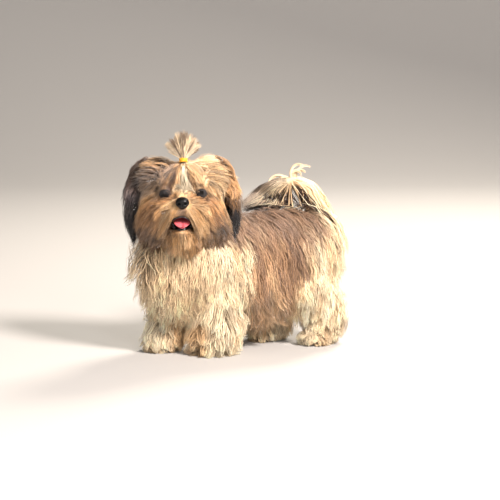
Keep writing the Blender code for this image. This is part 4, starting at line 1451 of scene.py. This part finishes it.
def make_camera():
    data = bpy.data.cameras.new("camera")
    data.lens = CAMERA_LENS
    data.sensor_width = 36.0
    data.clip_end = 100.0
    camera = link("camera", data)
    flat = math.cos(CAMERA_RISE)
    away = (math.sin(CAMERA_AZIMUTH) * flat, -math.cos(CAMERA_AZIMUTH) * flat, math.sin(CAMERA_RISE))
    back = Vector(away)
    camera.location = CAMERA_AIM + SHIFT + CAMERA_AWAY * back
    camera.rotation_euler = back.to_track_quat("Z", "Y").to_euler()
    bpy.context.scene.camera = camera
    return back


FLOOR_BEND = 2.5  # how far behind the dog the floor starts to rise, in m
FLOOR_RISE = 1.6  # the radius that it rises with
FLOOR_COLOUR = (0.5, 0.49, 0.475, 1)
SKY_COLOUR = (1.0, 0.98, 0.95, 1)
SKY_STRENGTH = 0.22

# Each light: how far right, towards the camera and up it stands, its size, power and colour.
LIGHTS = {
    "key": ((1.6, 1.9, 2.2), 0.8, 212, (1.0, 0.9, 0.84)),
    "fill": ((-2.2, 1.6, 1.2), 1.8, 8, (0.97, 0.97, 1.0)),
    "rim": ((0.9, -1.7, 1.9), 1.0, 90, (1.0, 0.91, 0.8)),
}


def area_light(name, at, size, power, colour, aim=Vector((0, 0, 0.18))):
    data = bpy.data.lights.new(name, "AREA")
    data.shape = "DISK"
    data.size = size
    data.energy = power
    data.color = colour
    lamp = link(name, data)
    lamp.location = at
    lamp.rotation_euler = (at - aim).to_track_quat("Z", "Y").to_euler()


def make_stage(back):
    """A plain pale floor that curves up behind the dog, and soft studio lights."""
    flat = Vector((back.x, back.y, 0)).normalized()
    right = Vector((-flat.y, flat.x, 0))
    rows = [(6.0, 0.0), (0.0, 0.0), (-FLOOR_BEND, 0.0)]
    for angle in math.pi / 2 * np.arange(1, 13) / 12:
        rows.append((-FLOOR_BEND - FLOOR_RISE * math.sin(angle), FLOOR_RISE * (1 - math.cos(angle))))
    rows.append((-FLOOR_BEND - FLOOR_RISE, 7.0))
    verts = [flat * away + right * wide + Vector((0, 0, up)) for away, up in rows for wide in (-8, 8)]
    faces = [(k, k + 1, k + 3, k + 2) for k in range(0, 2 * len(rows) - 2, 2)]
    mesh = bpy.data.meshes.new("floor")
    mesh.from_pydata(verts, [], faces)
    floor = smooth_piece("floor", mesh)
    made, _, shader = new_material("floor_paper", 0.9)
    shader.inputs["Base Color"].default_value = FLOOR_COLOUR
    floor.data.materials.append(made)
    for name, ((across, near, up), *light) in LIGHTS.items():
        area_light(name, right * across + flat * near + Vector((0, 0, up)), *light)
    face = SHIFT + CM * (HEAD @ Vector(NOSE_AT))
    at = face + 1.2 * back + Vector((0, 0, 0.5)) + 0.35 * right
    area_light("eye_light", at, 0.35, 7, (1.0, 0.95, 0.9), face)
    world = bpy.data.worlds.new("studio")
    bpy.context.scene.world = world
    world.use_nodes = True
    bpy.context.scene.view_settings.view_transform = "Standard"
    fill_inputs(world.node_tree.nodes["Background"], {"Color": SKY_COLOUR, "Strength": SKY_STRENGTH})


def leather_material(name, colour, roughness, scale, strength, **sockets):
    """A single-coloured wet or leathery surface with a pebbled bump."""
    made, tree, shader = new_material(name, roughness, **sockets)
    join = tree.links.new
    place = added(tree, "ShaderNodeTexCoord")
    cells = added(tree, "ShaderNodeTexVoronoi", Scale=scale)
    join(place.outputs["Object"], cells.inputs["Vector"])
    ramped = added(tree, "ShaderNodeValToRGB")
    for stop, share in zip(ramped.color_ramp.elements, (1.5, 0.7)):
        stop.color = (*(colour * share), 1)
    join(cells.outputs["Distance"], ramped.inputs["Fac"])
    join(ramped.outputs["Color"], shader.inputs["Base Color"])
    bumped(tree, shader, cells.outputs["Distance"], strength, 0.0004).invert = True
    return made


def nearest_place(triangles, spot):
    """The bake map's place of the skin's triangle that is nearest to a spot."""
    near = lengths(triangles[0].mean(axis=1) - np.array(spot)).argmin()
    return triangles[3][near].mean(axis=0)


def main():
    chance = np.random.default_rng(SEED)
    make_stage(make_camera())

    skin = make_skin()
    unwrapped(skin)
    triangles = skin_triangles(skin)
    group = nearest_group(triangles[0].mean(axis=1))
    points = mesh_points(skin.data)
    local = in_head(points)
    inside = patch(local, MOUTH_AT, np.array(MOUTH) * 1.06, 0.05)
    sockets = [patch(local, np.array(eye) + (0, -1.0, 0), (1.1, 1.5, 0.85), 0.1) for eye in EYES.values()]
    # Painted shade: the skin is a fifth darker than the coat's marks, and the inside of the mouth is a shaded
    # dark red. The eye sockets take the lips' black.
    tint = painted(marked(points) * 0.8, (MOUTH_RED_IN_SHADE * 0.5, inside), (LIP, np.maximum(*sockets)))
    colour_layer(skin.data, tint)

    hair = tinted_material("coat_hair", 0.55, grain=0.16, scale=260.0, Sheen_Weight=0.25, Sheen_Roughness=0.4)
    hide = tinted_material("hide", 0.7, grain=0.2, scale=500.0, bump=0.4)
    flesh = ("head", "jaw", "ear_left", "ear_right", "neck", "torso", "tail_root", "tail_plume", *FEET)
    finished(in_row(skin), hide, "coat_cream", *flesh)

    slots = {"head": "coat_gold", "jaw": "coat_gold", "torso": "coat_grey"}
    slots.update(ear_left="coat_dark", ear_right="coat_dark")
    for name, plan in plans().items():
        for piece in strands(name, plan, triangles, group, chance):
            finished(in_row(piece), hair, slots.get(name, "coat_cream"))
    knot = topknot_piece(chance, nearest_place(triangles, HEAD @ Vector((0, -2.2, 5.6))))
    finished(in_row(knot), hair, "coat_cream", "topknot")
    wisps = wisp_piece(chance, nearest_place(triangles, TAIL_BONES[3][:3]))
    finished(in_row(wisps), hair, "coat_cream")

    nose = leather_material("nose_leather", srgb(4, 4, 5), 0.34, 1100.0, 0.4, Specular_IOR_Level=0.35)
    lip = leather_material("lip_leather", LIP, 0.38, 1500.0, 0.25, Coat_Weight=0.3)
    claw = leather_material("claw_horn", srgb(46, 38, 34), 0.4, 300.0, 0.15)
    wet = dict(Coat_Weight=0.5, Coat_Roughness=0.03, Specular_IOR_Level=0.15)
    eye = tinted_material("eye_wet", 0.12, 0.05, 900.0, **wet)
    tongue = tinted_material("tongue_wet", 0.36, 0.1, 700.0, 0.5, Coat_Weight=0.4, Subsurface_Weight=0.1)
    band = leather_material("band_elastic", srgb(232, 170, 40), 0.5, 900.0, 0.3)

    finished(in_row(nose_piece(), HEAD), nose, "nose", "nose")
    finished(in_row(lip_piece(), HEAD), lip, "nose")
    finished(in_row(tongue_piece(), HEAD), tongue, "tongue", "tongue")
    finished(in_row(band_piece(), HEAD), band, "band", "hair_band")
    finished(in_row(claw_pieces()), claw, "nose")
    for side, word in SIDES:
        finished(in_row(eye_piece(side, word), HEAD), eye, "eye", f"eye_{word}")
        finished(in_row(lid_piece(side, word), HEAD), lip, "nose")


main()
bpy.context.view_layer.update()
